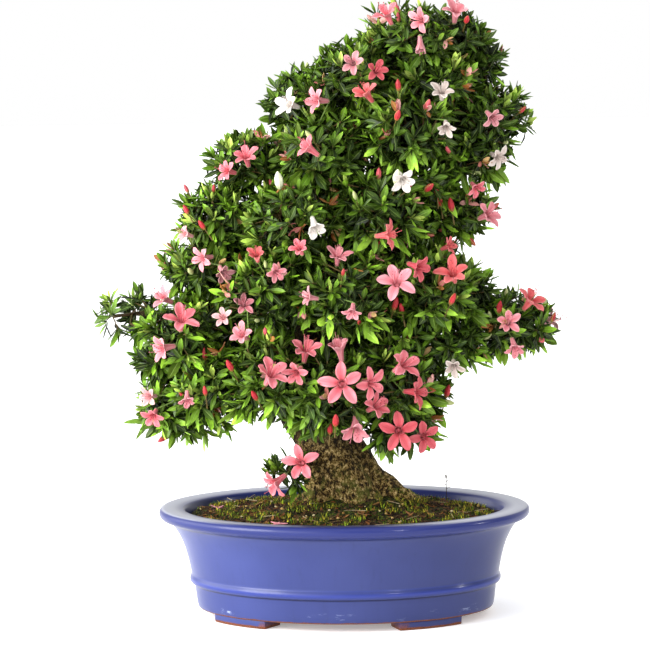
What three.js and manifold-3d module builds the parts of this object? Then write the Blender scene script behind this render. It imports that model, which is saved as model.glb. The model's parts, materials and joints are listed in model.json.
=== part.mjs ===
// A satsuki azalea bonsai in flower, in an oval glazed pot. Millimetres, +Z up.
// The pot's long side lies along X. The tree's own front is turned a little from the pot's, so
// everything that grows is placed in the tree's frame: X across its front, -Y towards whoever
// looks at its front, Z up from the table, with zero on the pot's axis.
import * as THREE from "three";
import { mergeVertices } from "three/addons/utils/BufferGeometryUtils.js";
import Module from "manifold-3d";

const wasm = await Module();
wasm.setup();

// ---- Driving dimensions ----
const POT_HALF_LENGTH = 205;
const POT_HALF_WIDTH = 162;
const FOOT_HEIGHT = 9;
const POT_SIDES = 32;
const FLOOR_TOP = 19;
const DRAIN_RADIUS = 11;
const DRAIN_OFFSET = 68;
const SCREEN_SIDE = 36;
const SCREEN_THICKNESS = 1.4;
const SOIL_EDGE = 106;
const SOIL_CROWN = 121;
const FIT_GAP = 0.4;
const TREE_TURN = THREE.MathUtils.degToRad(8.4);
const LEAF_LENGTH = 42;
const LEAF_WIDTH = 18;
const LEAF_THICKNESS = 1.8;
const LEAVES_PER_SHOOT = 5;
const SHOOT_SPACING = 76;
const CORE_SHARE = 0.54;
const HUB_SHARE = 0.7;
const FULL_LUMP = 50;
const INWARD = -0.25;
const FEWEST_SHOOTS = 4;
const HEEL_SHARE = 0.45;
const HUB_RADIUS = 3.2;
const HUB_RISE = 1.6;
const BUD_LENGTH = 24;
const PETAL_THICKNESS = 1.6;
const FUNNEL_SHARE = 0.85;
const NECK_SHARE = 0.55;
const STALK_RADIUS = 1.8;
const THIN_STALK_RADIUS = 1.3;
const FOOT_DEPTH = 15;
const LARGE_HEAD = 21;

// The pot's profile, as [inset from the rim's edge, height], from under the floor, up the outside
// over the moulded band and the lip, and down the inside to the floor.
const POT_PROFILE = [
  [51, 9], [40.8, 12], [38, 36], [33.4, 39], [33.8, 45], [29, 72], [14.5, 103],
  [2.5, 109], [0, 114], [2.5, 120], [28, 118.4], [34, 100], [50, 31], [66, FLOOR_TOP],
];

// Each pad of foliage: the point where its branch leaves the trunk's line, and its lumps, each
// [centre x, y, z, half-size x, y, z] measured out to the leaf tips.
const PADS = {
  foliage_apex: {
    from: 560,
    lumps: [[100, 10, 630, 70, 72, 36], [150, 0, 634, 40, 45, 30], [55, 55, 615, 48, 50, 32]],
  },
  foliage_left_shoulder: { from: 505, lumps: [[12, -15, 588, 52, 60, 38], [-46, 0, 573, 46, 48, 36]] },
  foliage_right_shoulder: {
    from: 480,
    lumps: [[156, 0, 542, 54, 60, 44], [112, -15, 586, 48, 50, 32], [174, 12, 492, 26, 34, 28]],
  },
  foliage_upper_front: { from: 470, lumps: [[75, -50, 535, 56, 58, 44], [-12, -42, 512, 56, 60, 48]] },
  foliage_left_upper: {
    from: 420,
    lumps: [[-103, 0, 504, 52, 52, 36], [-123, -5, 440, 54, 58, 42], [-148, -10, 386, 48, 52, 36]],
  },
  foliage_middle_front: {
    from: 400,
    lumps: [[42, -65, 450, 56, 58, 46], [-45, -68, 440, 54, 58, 46], [88, -30, 478, 38, 45, 32]],
  },
  foliage_right_middle: { from: 385, lumps: [[122, 0, 445, 50, 58, 36], [138, -5, 502, 40, 50, 32]] },
  foliage_centre_front: { from: 330, lumps: [[-78, -75, 362, 58, 58, 48], [5, -88, 365, 58, 60, 50]] },
  foliage_right_branch: {
    from: 300,
    lumps: [
      [95, -52, 362, 58, 62, 46], [150, -10, 364, 46, 52, 36], [186, 0, 322, 56, 60, 46],
      [118, -25, 298, 56, 60, 44], [222, 0, 322, 36, 42, 30], [66, -48, 322, 40, 44, 34],
    ],
  },
  foliage_left_branch: {
    from: 285,
    lumps: [
      [-165, -30, 320, 54, 60, 42], [-224, 0, 324, 44, 42, 36], [-140, -35, 255, 52, 60, 44],
      [-188, 0, 236, 50, 52, 50],
    ],
  },
  foliage_low_front: {
    from: 245,
    lumps: [
      [-74, -78, 275, 52, 56, 50], [-15, -88, 258, 48, 52, 50], [50, -62, 264, 52, 55, 52],
      [90, -22, 218, 38, 42, 36],
    ],
  },
  foliage_back_upper: {
    from: 450,
    lumps: [[95, 68, 545, 62, 60, 50], [-22, 62, 508, 64, 60, 52], [40, 92, 440, 62, 56, 48]],
  },
  foliage_back_lower: {
    from: 320,
    lumps: [
      [-62, 88, 400, 64, 62, 52], [82, 80, 370, 74, 66, 54], [-130, 66, 305, 64, 60, 52],
      [5, 104, 300, 72, 60, 56],
    ],
  },
  foliage_low_shoot: { from: 165, lumps: [[-60, -66, 168, 26, 26, 22]] },
};
const padNames = Object.keys(PADS);

// Flower colours.
const TINTS = {
  pink: 0xe9808a, rose: 0xd9606b, pale: 0xedb0b4, coral: 0xe2656a, dusty: 0xc9808a, white: 0xf2efe9,
};

// Each spray of flowers on one shoot: its tint, and its heads, each
// [x, y, z, turn to the right of the tree's front, lift, petal radius, opening from the axis].
const SPRAYS = [
  ["pink", [-45, -88, 180, -10, 10, 20, 80], [-72, -92, 160, -40, -35, 19, 55]],
  ["pink", [0, -138, 270, 0, 5, 23, 82], [-2, -110, 303, -15, 68, 16, 48]],
  ["rose", [30, -120, 268, 35, -5, 19, 75], [65, -112, 286, 45, 20, 20, 72], [78, -104, 256, 60, 0, 19, 70]],
  ["pink", [35, -110, 242, 45, 25, 17, 60], [13, -116, 220, -5, -45, 21, 62]],
  ["rose", [60, -100, 214, 5, 0, 22, 82], [87, -82, 205, 20, -5, 19, 78]],
  ["pink", [-75, -142, 281, 28, 22, 21, 74]],
  ["rose", [-38, -112, 303, 15, 50, 19, 68], [-48, -128, 282, -25, -20, 16, 70]],
  ["pink", [-170, -92, 336, 18, 35, 21, 72], [-190, -84, 306, -45, 0, 19, 70]],
  [
    "pale", [-105, -102, 320, -10, 18, 17, 74], [-125, -90, 338, -20, 10, 14, 72],
    [-103, -98, 352, 10, 25, 13, 70],
  ],
  ["pale", [-190, -48, 356, -45, 30, 16, 62]],
  [
    "pale", [-146, -62, 400, -55, 0, 16, 70], [-125, -82, 386, 40, -10, 13, 66],
    [-165, -42, 425, -60, 20, 11, 60],
  ],
  ["pink", [-98, -58, 507, 10, 40, 16, 70], [-118, -58, 493, -45, -5, 14, 68]],
  ["pink", [-30, -102, 517, -30, 35, 16, 62]],
  ["white", [-50, -54, 565, -10, 10, 14, 76], [-20, -66, 567, -30, 12, 18, 70]],
  ["pale", [56, -38, 656, -30, 45, 15, 64]],
  ["pale", [92, -56, 650, -10, 0, 15, 72], [90, -72, 624, 5, -60, 12, 40]],
  ["pink", [130, -30, 658, 12, 50, 17, 66]],
  ["coral", [18, -76, 606, -15, 8, 14, 70], [42, -74, 597, 25, -5, 13, 66], [32, -82, 573, -50, 40, 15, 64]],
  ["dusty", [112, -76, 573, 0, 10, 13, 72], [115, -92, 537, 0, -10, 12, 66]],
  ["rose", [165, -66, 546, 20, -20, 14, 60]],
  ["white", [172, -44, 502, 10, -10, 14, 74], [148, -46, 470, 20, 30, 12, 64]],
  ["white", [60, -108, 485, 0, 55, 13, 66]],
  ["white", [-30, -130, 445, -40, 0, 17, 72], [-42, -122, 412, -20, 25, 12, 60]],
  ["pale", [160, -48, 440, 15, -5, 17, 66]],
  ["coral", [50, -122, 425, 40, -20, 17, 58]],
  ["coral", [-88, -112, 405, -10, 45, 12, 52], [-68, -124, 388, 20, -20, 12, 60]],
  ["dusty", [-32, -140, 362, -65, 10, 13, 56], [12, -150, 348, -10, -50, 12, 54]],
  ["pale", [-2, -112, 402, 10, 60, 15, 54]],
  ["pale", [60, -116, 374, 0, 18, 22, 82], [82, -112, 390, 50, -15, 18, 60]],
  ["coral", [120, -104, 381, 15, 30, 19, 78], [116, -70, 408, 60, 20, 12, 56]],
  ["coral", [205, -50, 346, 40, 38, 18, 66]],
  ["pale", [180, -68, 325, -10, -5, 14, 66], [187, -58, 298, 20, -50, 14, 56]],
  ["white", [120, -88, 274, 0, -25, 12, 62]],
  [
    "pale", [-208, -52, 250, -40, 0, 13, 64], [-204, -58, 230, -15, -30, 14, 62],
    [-166, -92, 252, 0, -55, 11, 44],
  ],
  ["pink", [-10, 124, 525, 178, 15, 20, 78]],
  ["rose", [115, 130, 550, 165, 20, 19, 74], [140, 116, 530, 145, 0, 17, 70]],
  ["pale", [-60, 152, 415, 190, 10, 21, 80]],
  ["pink", [90, 150, 385, 172, 12, 21, 80], [118, 142, 362, 155, -10, 19, 72]],
  ["coral", [-135, 130, 318, 192, 15, 20, 76]],
  ["pink", [0, 168, 300, 180, 5, 22, 80]],
  ["pale", [232, 20, 318, 100, 15, 18, 74]],
];

// The trunk's line and half-sizes across and front to back, from under the soil to the apex.
const TRUNK = [
  [12, 0, 96, 62, 52], [12, 0, 112, 60, 50], [10, 0, 124, 56, 46], [3, 0, 142, 49, 42],
  [-5, 0, 164, 42, 37], [-14, 0, 188, 38, 34], [-30, 0, 216, 37, 32], [-40, 4, 252, 31, 28],
  [-38, 8, 300, 25, 24], [-14, 10, 356, 21, 20], [14, 8, 412, 17, 17], [42, 6, 480, 13, 13],
  [66, 8, 545, 9, 9], [90, 10, 612, 5, 5],
];
const TRUNK_SIDES = 10;
const ROOT_RIDGES = 5;
const ROOTS_END = 190;
const BRANCH_RISE = 10;
const TWIG_RADIUS = 5;

// Flower buds, as [across, height] on the tree's front.
const BUDS = [
  [62, 545], [45, 405], [56, 405], [56, 342], [66, 338], [118, 390], [116, 348], [92, 468], [106, 462],
  [110, 450], [122, 444], [248, 318], [130, 232], [6, 200], [2, 190], [-116, 282], [-146, 254],
  [-90, 252], [-144, 430], [-162, 446], [140, 646], [170, 332], [-62, 474], [60, 478],
];

// ---- Helpers ----
// A repeatable random number from 0 to 1.
let seed = 20250;
function draw() {
  seed = (seed * 1664525 + 1013904223) % 4294967296;
  return seed / 4294967296;
}

const vec = (x, y, z) => new THREE.Vector3(x, y, z);

// A closed three.js geometry as a solid that can be joined and cut.
function solidOf(geometry) {
  const bare = new THREE.BufferGeometry();
  const loose = geometry.index ? geometry.toNonIndexed() : geometry;
  bare.setAttribute("position", loose.getAttribute("position"));
  const merged = mergeVertices(bare, 1e-4);
  const corners = merged.index.array;
  const kept = [];
  for (let i = 0; i < corners.length; i += 3) {
    const [a, b, c] = [corners[i], corners[i + 1], corners[i + 2]];
    if (a !== b && b !== c && a !== c) kept.push(a, b, c);
  }
  return new wasm.Manifold(new wasm.Mesh({
    numProp: 3,
    vertProperties: merged.getAttribute("position").array,
    triVerts: new Uint32Array(kept),
  }));
}

// A solid from a list of points and a list of triangles.
function solidFrom(points, triangles) {
  return new wasm.Manifold(new wasm.Mesh({
    numProp: 3,
    vertProperties: new Float32Array(points.flatMap((p) => [p.x, p.y, p.z])),
    triVerts: new Uint32Array(triangles.flat()),
  }));
}

// A solid back as a three.js geometry.
function geometryOf(solid) {
  const mesh = solid.getMesh();
  const place = new Float32Array(mesh.numVert * 3);
  for (let i = 0; i < mesh.numVert; i++) {
    for (let k = 0; k < 3; k++) place[3 * i + k] = mesh.vertProperties[mesh.numProp * i + k];
  }
  const geometry = new THREE.BufferGeometry();
  geometry.setAttribute("position", new THREE.BufferAttribute(place, 3));
  geometry.setIndex(new THREE.BufferAttribute(new Uint32Array(mesh.triVerts), 1));
  const flat = geometry.toNonIndexed();
  flat.computeVertexNormals();
  return flat;
}

function namedMesh(name, solid, material) {
  const mesh = new THREE.Mesh(geometryOf(solid), material);
  mesh.name = name;
  return mesh;
}

// The largest of the bodies that a solid falls into.
function largestBody(solid) {
  return solid.decompose().reduce((best, body) => (body.volume() > best.volume() ? body : best));
}

// A ring of points round a centre, across two directions.
function ring(centre, across, along, halfAcross, halfAlong, sides, shape) {
  const points = [];
  for (let i = 0; i < sides; i++) {
    const angle = (2 * Math.PI * i) / sides;
    const reach = shape ? shape(angle) : 1;
    points.push(centre.clone()
      .addScaledVector(across, halfAcross * reach * Math.cos(angle))
      .addScaledVector(along, halfAlong * reach * Math.sin(angle)));
  }
  return points;
}

// A closed skin over a stack of rings that run upwards, with flat ends.
function skinOver(rings) {
  const sides = rings[0].length;
  const points = rings.flat();
  const triangles = [];
  for (let r = 0; r + 1 < rings.length; r++) {
    for (let i = 0; i < sides; i++) {
      const a = r * sides + i;
      const b = r * sides + ((i + 1) % sides);
      triangles.push([a, b, b + sides], [a, b + sides, a + sides]);
    }
  }
  const last = (rings.length - 1) * sides;
  for (let i = 1; i + 1 < sides; i++) {
    triangles.push([0, i + 1, i], [last, last + i, last + i + 1]);
  }
  return solidFrom(points, triangles);
}

// A tapering limb along some points, with a radius at each.
function limb(points, radii, sides) {
  const whole = points.at(-1).clone().sub(points[0]).normalize();
  const side = Math.abs(whole.z) < 0.9 ? vec(0, 0, 1) : vec(1, 0, 0);
  const rings = points.map((p, i) => {
    const before = points[Math.max(0, i - 1)];
    const after = points[Math.min(points.length - 1, i + 1)];
    const way = after.clone().sub(before).normalize();
    const across = side.clone().cross(way).normalize();
    const along = way.clone().cross(across);
    return ring(p, across, along, radii[i], radii[i], sides);
  });
  return skinOver(rings);
}

// ---- Pot, drain screens and soil ----
// The half-width that goes with a half-length: a constant inset from the rim, closing on the axis.
function ovalHalfWidth(halfLength) {
  const inner = 100;
  const difference = POT_HALF_LENGTH - POT_HALF_WIDTH;
  if (halfLength > inner) return halfLength - difference;
  return (halfLength * (inner - difference)) / inner;
}

// A lathe turned about Z whose round rings are drawn in to ovals.
function ovalLathe(profile) {
  const points = profile.map(([halfLength, z]) => new THREE.Vector2(halfLength, z));
  const geometry = new THREE.LatheGeometry(points, POT_SIDES).rotateX(Math.PI / 2);
  const place = geometry.getAttribute("position");
  for (let i = 0; i < place.count; i++) {
    const round = Math.hypot(place.getX(i), place.getY(i));
    if (round > 1e-6) place.setY(i, (place.getY(i) * ovalHalfWidth(round)) / round);
  }
  return geometry;
}

// The block under the pot between two angles, from the table up into the floor.
function footSolid(start, end) {
  const outer = POT_HALF_LENGTH - 45;
  const inner = outer - 30;
  const steps = 3;
  const outline = [];
  for (let i = 0; i <= steps; i++) outline.push([outer, start + ((end - start) * i) / steps]);
  for (let i = steps; i >= 0; i--) outline.push([inner, start + ((end - start) * i) / steps]);
  const shape = new THREE.Shape(outline.map(([halfLength, angle]) => new THREE.Vector2(
    halfLength * Math.cos(angle),
    ovalHalfWidth(halfLength) * Math.sin(angle),
  )));
  const sunk = 2;
  return solidOf(new THREE.ExtrudeGeometry(shape, { depth: FOOT_HEIGHT + sunk, bevelEnabled: false }));
}

function potSolid() {
  const profile = POT_PROFILE.map(([inset, z]) => [POT_HALF_LENGTH - inset, z]);
  const body = solidOf(ovalLathe([[0, FOOT_HEIGHT], ...profile, [0, FLOOR_TOP]]));
  const footStart = THREE.MathUtils.degToRad(32);
  const footEnd = THREE.MathUtils.degToRad(63);
  const feet = [];
  for (const [start, end] of [
    [footStart, footEnd], [Math.PI - footEnd, Math.PI - footStart],
    [Math.PI + footStart, Math.PI + footEnd], [-footEnd, -footStart],
  ]) feet.push(footSolid(start, end));
  const drains = [-DRAIN_OFFSET, DRAIN_OFFSET].map((x) => solidOf(
    new THREE.CylinderGeometry(DRAIN_RADIUS, DRAIN_RADIUS, 40, 10).rotateX(Math.PI / 2).translate(x, 0, 15),
  ));
  return wasm.Manifold.union([body, ...feet]).subtract(wasm.Manifold.union(drains));
}

// A square of plastic netting that keeps the soil over a drain hole.
function screenSolid(x) {
  const z = FLOOR_TOP + FIT_GAP + SCREEN_THICKNESS / 2;
  const sheet = solidOf(new THREE.BoxGeometry(SCREEN_SIDE, SCREEN_SIDE, SCREEN_THICKNESS).translate(x, 0, z));
  const holes = [];
  const opening = SCREEN_SIDE / 3;
  for (const i of [-0.6, 0.6]) {
    for (const j of [-0.6, 0.6]) {
      const cut = new THREE.BoxGeometry(opening, opening, 2 * SCREEN_THICKNESS);
      holes.push(solidOf(cut.translate(x + i * opening, j * opening, z)));
    }
  }
  return sheet.subtract(wasm.Manifold.union(holes));
}

// The soil's height over the pot: a low dome with soft mounds.
function soilHeight(x, y) {
  const edge = Math.min(1, Math.hypot(x / (POT_HALF_LENGTH - 32), y / (POT_HALF_WIDTH - 32)));
  const dome = SOIL_EDGE + (SOIL_CROWN - SOIL_EDGE) * (1 - edge ** 2.2);
  const mounds = 1.8 * Math.sin(x * 0.075 + 1) * Math.cos(y * 0.09) + 1.1 * Math.sin(x * 0.19 + y * 0.13);
  return dome + mounds * (1 - edge ** 6);
}

function soilSolid(trunkHole) {
  const gap = 0.6;
  const floorRing = POT_HALF_LENGTH - 66 - gap;
  const wallRing = POT_HALF_LENGTH - 50 - gap;
  const topRing = POT_HALF_LENGTH - 32.4 - gap;
  const steps = [1, 0.88, 0.74, 0.58, 0.4, 0.2];
  const profile = [[0, FLOOR_TOP + gap], [floorRing, FLOOR_TOP + gap], [wallRing, 31 + gap]];
  for (const step of steps) profile.push([topRing * step, SOIL_EDGE]);
  profile.push([0, SOIL_EDGE]);
  const geometry = ovalLathe(profile);
  const place = geometry.getAttribute("position");
  for (let i = 0; i < place.count; i++) {
    if (place.getZ(i) > SOIL_EDGE - 1) place.setZ(i, soilHeight(place.getX(i), place.getY(i)));
  }
  const pockets = [-DRAIN_OFFSET, DRAIN_OFFSET].map((x) => {
    const side = SCREEN_SIDE + 2 * FIT_GAP;
    const box = new THREE.BoxGeometry(side, side, 2 * (SCREEN_THICKNESS + 2 * FIT_GAP));
    return solidOf(box.translate(x, 0, FLOOR_TOP));
  });
  return solidOf(geometry).subtract(wasm.Manifold.union([trunkHole, ...pockets]));
}

// ---- Trunk and branches ----
// The trunk with its root flare, grown all over by a clearance when it cuts its neighbours.
function trunkSolid(grow) {
  const rings = TRUNK.map(([x, y, z, across, along], i) => {
    const flare = Math.max(0, (ROOTS_END - z) / ROOTS_END);
    const turn = (z - SOIL_CROWN) * 0.012;
    const ridges = (angle) => 1
      + (0.05 + 0.3 * flare) * Math.cos(ROOT_RIDGES * angle + turn)
      + 0.03 * Math.cos(3 * angle - 2 * turn);
    const end = i === 0 ? -grow : 0;
    const place = vec(x, y, z + end);
    return ring(place, vec(1, 0, 0), vec(0, 1, 0), across + grow, along + grow, TRUNK_SIDES, ridges);
  });
  return skinOver(rings);
}

// The trunk line's point and radius at a height.
function trunkAt(z) {
  const above = TRUNK.findIndex((station) => station[2] >= z);
  const [low, high] = [TRUNK[above - 1], TRUNK[above]];
  const share = (z - low[2]) / (high[2] - low[2]);
  const mix = low.map((value, i) => value + (high[i] - value) * share);
  return { point: vec(mix[0], mix[1], z), radius: Math.min(mix[3], mix[4]) };
}

// A pad's branch: out of the trunk, rising, and on into the pad's first lump.
function branchSolid(pad, grow) {
  const { point, radius } = trunkAt(pad.from);
  const first = vec(...pad.lumps[0].slice(0, 3));
  const thick = Math.min(0.6 * radius, 11);
  const bend = point.clone().lerp(first, 0.5).add(vec(0, 0, BRANCH_RISE));
  return limb([point, bend, first], [thick + grow, 0.75 * thick + grow, 0.5 * thick + grow], 5);
}

// The twigs that carry a pad's other lumps from its first.
function twigSolids(pad, grow) {
  const places = pad.lumps.map((lump) => vec(...lump.slice(0, 3)));
  const radii = [TWIG_RADIUS + grow, TWIG_RADIUS + grow];
  return places.slice(1).map((place) => {
    const near = places.reduce((best, other) => {
      const shorter = other.distanceTo(place) < best.distanceTo(place);
      return places.indexOf(other) < places.indexOf(place) && shorter ? other : best;
    }, places[0]);
    return limb([near, place], radii, 4);
  });
}

// ---- Foliage ----
// A lump's dark inner mass, well inside its leaf tips.
function coreSize(lump) {
  return lump.slice(3).map((half) => CORE_SHARE * half);
}

function coreSolid(lump, grow) {
  const [x, y, z] = lump;
  const [a, b, c] = coreSize(lump);
  const geometry = new THREE.SphereGeometry(1, 6, 4).rotateX(Math.PI / 2);
  return solidOf(geometry.scale(a + grow, b + grow, c + grow).translate(x, y, z));
}

// How far out a point lies in a lump, with 1 at the surface of the given half-sizes.
function reachIn(lump, half, point) {
  const [x, y, z] = lump;
  return Math.hypot((point.x - x) / half[0], (point.y - y) / half[1], (point.z - z) / half[2]);
}

// A leaf's two widest points and its tip, from a hub along a way, its upper face towards the axis.
function leafPoints(hub, axis, { way, length, width }, grow) {
  const across = way.clone().cross(axis).normalize();
  const up = across.clone().cross(way).normalize();
  const at = (along, side, lift) => hub.clone()
    .addScaledVector(way, along)
    .addScaledVector(across, side)
    .addScaledVector(up, lift);
  const half = width / 2 + grow;
  const edge = -LEAF_THICKNESS - grow;
  return [at(0.56 * length, half, edge), at(length + 2 * grow, 0, 0), at(0.56 * length, -half, edge)];
}

// The room that a leaf needs round it: a blade folded along its midrib above and across below.
function leafRoom(hub, axis, leaf) {
  const crown = hub.clone().addScaledVector(axis, HUB_RISE + FIT_GAP);
  const points = [crown, ...leafPoints(hub, axis, leaf, FIT_GAP)];
  return solidFrom(points, [[0, 1, 2], [0, 2, 3], [1, 0, 3], [1, 3, 2]]);
}

// A rosette of leaves round a hub, on a heel sunk in the core. Each leaf is folded along its midrib
// above and across its widest place below. A place with no leaf is closed with one face.
function rosetteSolid(heel, hub, axis, across, leaves) {
  const along = axis.clone().cross(across);
  const sides = leaves.length;
  const step = (2 * Math.PI) / sides;
  const points = [];
  for (let k = 0; k < sides; k++) {
    const angle = (k - 0.5) * step;
    points.push(hub.clone()
      .addScaledVector(across, HUB_RADIUS * Math.cos(angle))
      .addScaledVector(along, HUB_RADIUS * Math.sin(angle)));
  }
  const crown = points.push(hub.clone().addScaledVector(axis, HUB_RISE)) - 1;
  const end = points.push(heel) - 1;
  const triangles = [];
  leaves.forEach((leaf, k) => {
    const next = (k + 1) % sides;
    triangles.push([next, k, end]);
    if (!leaf) {
      triangles.push([crown, k, next]);
      return;
    }
    const right = points.length;
    const [tip, left] = [right + 1, right + 2];
    points.push(...leafPoints(hub, axis, leaf, 0));
    triangles.push([crown, k, right], [crown, right, tip], [crown, tip, left], [crown, left, next]);
    triangles.push([left, tip, right], [left, right, k], [left, k, next]);
  });
  return solidFrom(points, triangles);
}

// A plump flower bud: a drop of three sides.
function budSolid(root, way) {
  const across = vec(0, 0, 1).cross(way).normalize();
  const along = way.clone().cross(across);
  const belly = ring(root.clone().addScaledVector(way, 0.7 * BUD_LENGTH), across, along, 3.8, 3.8, 3);
  const points = [...belly, root, root.clone().addScaledVector(way, BUD_LENGTH)];
  const triangles = [0, 1, 2].flatMap((i) => [[i, (i + 1) % 3, 4], [(i + 1) % 3, i, 3]]);
  return solidFrom(points, triangles);
}

// ---- Flowers ----
// A head's place, its facing way, and two directions across it.
function headFrame([x, y, z, turn, lift], spin) {
  const azimuth = THREE.MathUtils.degToRad(turn);
  const elevation = THREE.MathUtils.degToRad(lift);
  const facing = vec(
    Math.sin(azimuth) * Math.cos(elevation),
    -Math.cos(azimuth) * Math.cos(elevation),
    Math.sin(elevation),
  );
  const across = vec(Math.cos(azimuth), Math.sin(azimuth), 0).applyAxisAngle(facing, spin);
  return { centre: vec(x, y, z), facing, across, along: facing.clone().cross(across) };
}

// The points of a five-lobed funnel that runs back to a point, with lobes that curl back. A large
// head has channelled lobes and a hollow throat, and a small one flat lobes and a plain eye.
function headPoints(head, frame) {
  const radius = head[5];
  const opening = THREE.MathUtils.degToRad(head[6]);
  const throat = 0.21 * radius;
  const at = (angle, out, ahead, aside = 0) => frame.centre.clone()
    .addScaledVector(frame.across, out * Math.cos(angle) - aside * Math.sin(angle))
    .addScaledVector(frame.along, out * Math.sin(angle) + aside * Math.cos(angle))
    .addScaledVector(frame.facing, ahead);
  const run = radius - throat;
  const lobeAt = (angle, share, aside, lift) => at(
    angle,
    throat + run * share * Math.sin(opening) - lift * Math.cos(opening),
    run * share * Math.cos(opening) - 0.12 * radius * share * share + lift * Math.sin(opening),
    aside,
  );

  const step = (2 * Math.PI) / 5;
  const width = 0.27 * radius;
  const half = PETAL_THICKNESS / 2;
  const large = radius >= LARGE_HEAD;
  const edge = large ? 0.5 : -1;
  const throats = [];
  const lobes = [];
  for (let k = 0; k < 5; k++) {
    const angle = k * step;
    throats.push(at(angle - step / 2, throat, 0));
    lobes.push([
      lobeAt(angle, 0.62, -width, edge), lobeAt(angle, 1, 0, 0), lobeAt(angle, 0.62, width, edge),
    ]);
    if (large) {
      lobes[k].push(
        lobeAt(angle, 0.55, 0, half - 1), lobeAt(angle, 0.55, 0, -half - 1), at(angle, 0.14 * radius, 1),
      );
    }
  }
  const tail = at(0, 0, -FUNNEL_SHARE * radius);
  return { large, throats, lobes, tail, eye: at(0, 0, large ? -0.3 * radius : half) };
}

function headSolid({ large, throats, lobes, tail, eye }) {
  const points = [...throats, tail, eye];
  const triangles = [];
  for (let k = 0; k < 5; k++) {
    const next = (k + 1) % 5;
    const [first, tip, last, inside, outside, lip] = lobes[k].map((point) => points.push(point) - 1);
    const outline = [k, first, tip, last, next];
    for (let i = 0; i < 4; i++) triangles.push([outline[i], outline[i + 1], large ? inside : 6]);
    if (large) {
      for (let i = 0; i < 4; i++) triangles.push([outline[i + 1], outline[i], outside]);
      triangles.push([next, lip, inside], [lip, k, inside], [k, next, outside]);
      triangles.push([next, 6, lip], [6, k, lip]);
    } else {
      triangles.push([last, tip, first], [k, last, first], [k, next, last]);
    }
    triangles.push([next, k, 5]);
  }
  return solidFrom(points, triangles);
}

// The room that a convex run of points needs, with a clearance all round.
function roomAround(points) {
  const reach = 1.5 * FIT_GAP;
  return wasm.Manifold.hull(points.flatMap(({ x, y, z }) => [
    [x - reach, y, z], [x + reach, y, z], [x, y - reach, z],
    [x, y + reach, z], [x, y, z - reach], [x, y, z + reach],
  ]));
}

function headRoom({ throats, lobes, tail, eye }) {
  return wasm.Manifold.union([
    roomAround([...throats, tail, eye]),
    ...lobes.map((lobe, k) => roomAround([...lobe, throats[k], throats[(k + 1) % 5], eye])),
  ]);
}

// A spray and its room: a stalk out of the foliage, and from its end a thin stalk into each head's
// neck. A head on its own has one stalk all the way.
function growSpray(heads, foot, joint) {
  const frames = heads.map((head) => headFrame(head, (draw() * 2 * Math.PI) / 5));
  const blooms = heads.map((head, i) => headPoints(head, frames[i]));
  const necks = heads.map((head, i) => frames[i].centre.clone()
    .addScaledVector(frames[i].facing, -NECK_SHARE * head[5]));
  const stalks = (grow) => {
    const way = joint.clone().sub(foot).normalize();
    const root = foot.clone().addScaledVector(way, -grow);
    const [thick, thin] = [STALK_RADIUS + 2 * grow, THIN_STALK_RADIUS + 2 * grow];
    if (heads.length === 1) return [limb([root, joint, necks[0]], [thick, thick, thin], 3)];
    const end = joint.clone().addScaledVector(way, 2 + grow);
    return [
      limb([root, end], [thick, thick], 3),
      ...necks.map((neck) => limb([joint, neck], [thin, thin], 3)),
    ];
  };
  return {
    whole: wasm.Manifold.union([...stalks(0), ...blooms.map(headSolid)]),
    clear: wasm.Manifold.union([...stalks(FIT_GAP), ...blooms.map(headRoom)]),
  };
}

// The front of the foliage at a place on the tree's front.
function frontOf(x, z) {
  let front = 0;
  for (const lump of padNames.flatMap((name) => PADS[name].lumps)) {
    const share = 1 - ((x - lump[0]) / lump[3]) ** 2 - ((z - lump[2]) / lump[5]) ** 2;
    if (share > 0) front = Math.min(front, lump[1] - lump[4] * Math.sqrt(share));
  }
  return front;
}

// The lump whose middle is nearest a point, measured in its own half-sizes.
function nearestLump(point) {
  let best = null;
  for (const [name, pad] of Object.entries(PADS)) {
    for (const lump of pad.lumps) {
      const reach = reachIn(lump, lump.slice(3), point);
      if (!best || reach < best.reach) best = { name, lump, reach };
    }
  }
  return best;
}

// The point on a lump's core straight below another point, pushed out by a distance.
function onCore(lump, point, out) {
  const centre = vec(...lump.slice(0, 3));
  const way = point.clone().sub(centre);
  const reach = reachIn(lump, coreSize(lump), point);
  return centre.addScaledVector(way, 1 / reach + out / way.length());
}

// ---- Assembly ----
const overlaps = (a, b) => {
  const [p, q] = [a.boundingBox(), b.boundingBox()];
  for (let k = 0; k < 3; k++) if (p.min[k] > q.max[k] || q.min[k] > p.max[k]) return false;
  return a.intersect(b).volume() > 0;
};

// Wood: the trunk with a branch to each pad.
const woodSolid = (grow) => wasm.Manifold.union([
  trunkSolid(grow), ...padNames.map((name) => branchSolid(PADS[name], grow)),
]);
const wood = woodSolid(0);
const woodClear = woodSolid(FIT_GAP);

// What is left of a solid, in one body, once all that is in its way has been cut from it.
function cutClear(solid, others) {
  const inTheWay = others.filter((other) => overlaps(solid, other));
  if (!inTheWay.length) return solid;
  return largestBody(solid.subtract(wasm.Manifold.union(inTheWay)));
}

// Flowers: each spray stands in the nearest lump.
const sprays = [];
SPRAYS.forEach(([tint, ...heads], i) => {
  const middle = vec(0, 0, 0);
  for (const head of heads) middle.addScaledVector(vec(...head.slice(0, 3)), 1 / heads.length);
  const { lump } = nearestLump(middle);
  const depth = Math.min(FOOT_DEPTH, 0.4 * Math.min(...coreSize(lump)));
  const foot = onCore(lump, middle, -depth);
  const joint = onCore(lump, middle, 0);
  const { whole, clear } = growSpray(heads, foot, joint);
  sprays.push({
    name: `flowers_${tint}_${String(i + 1).padStart(2, "0")}`,
    tint,
    solid: cutClear(whole, [woodClear, ...sprays.map((spray) => spray.clear)]),
    clear,
  });
});

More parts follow.
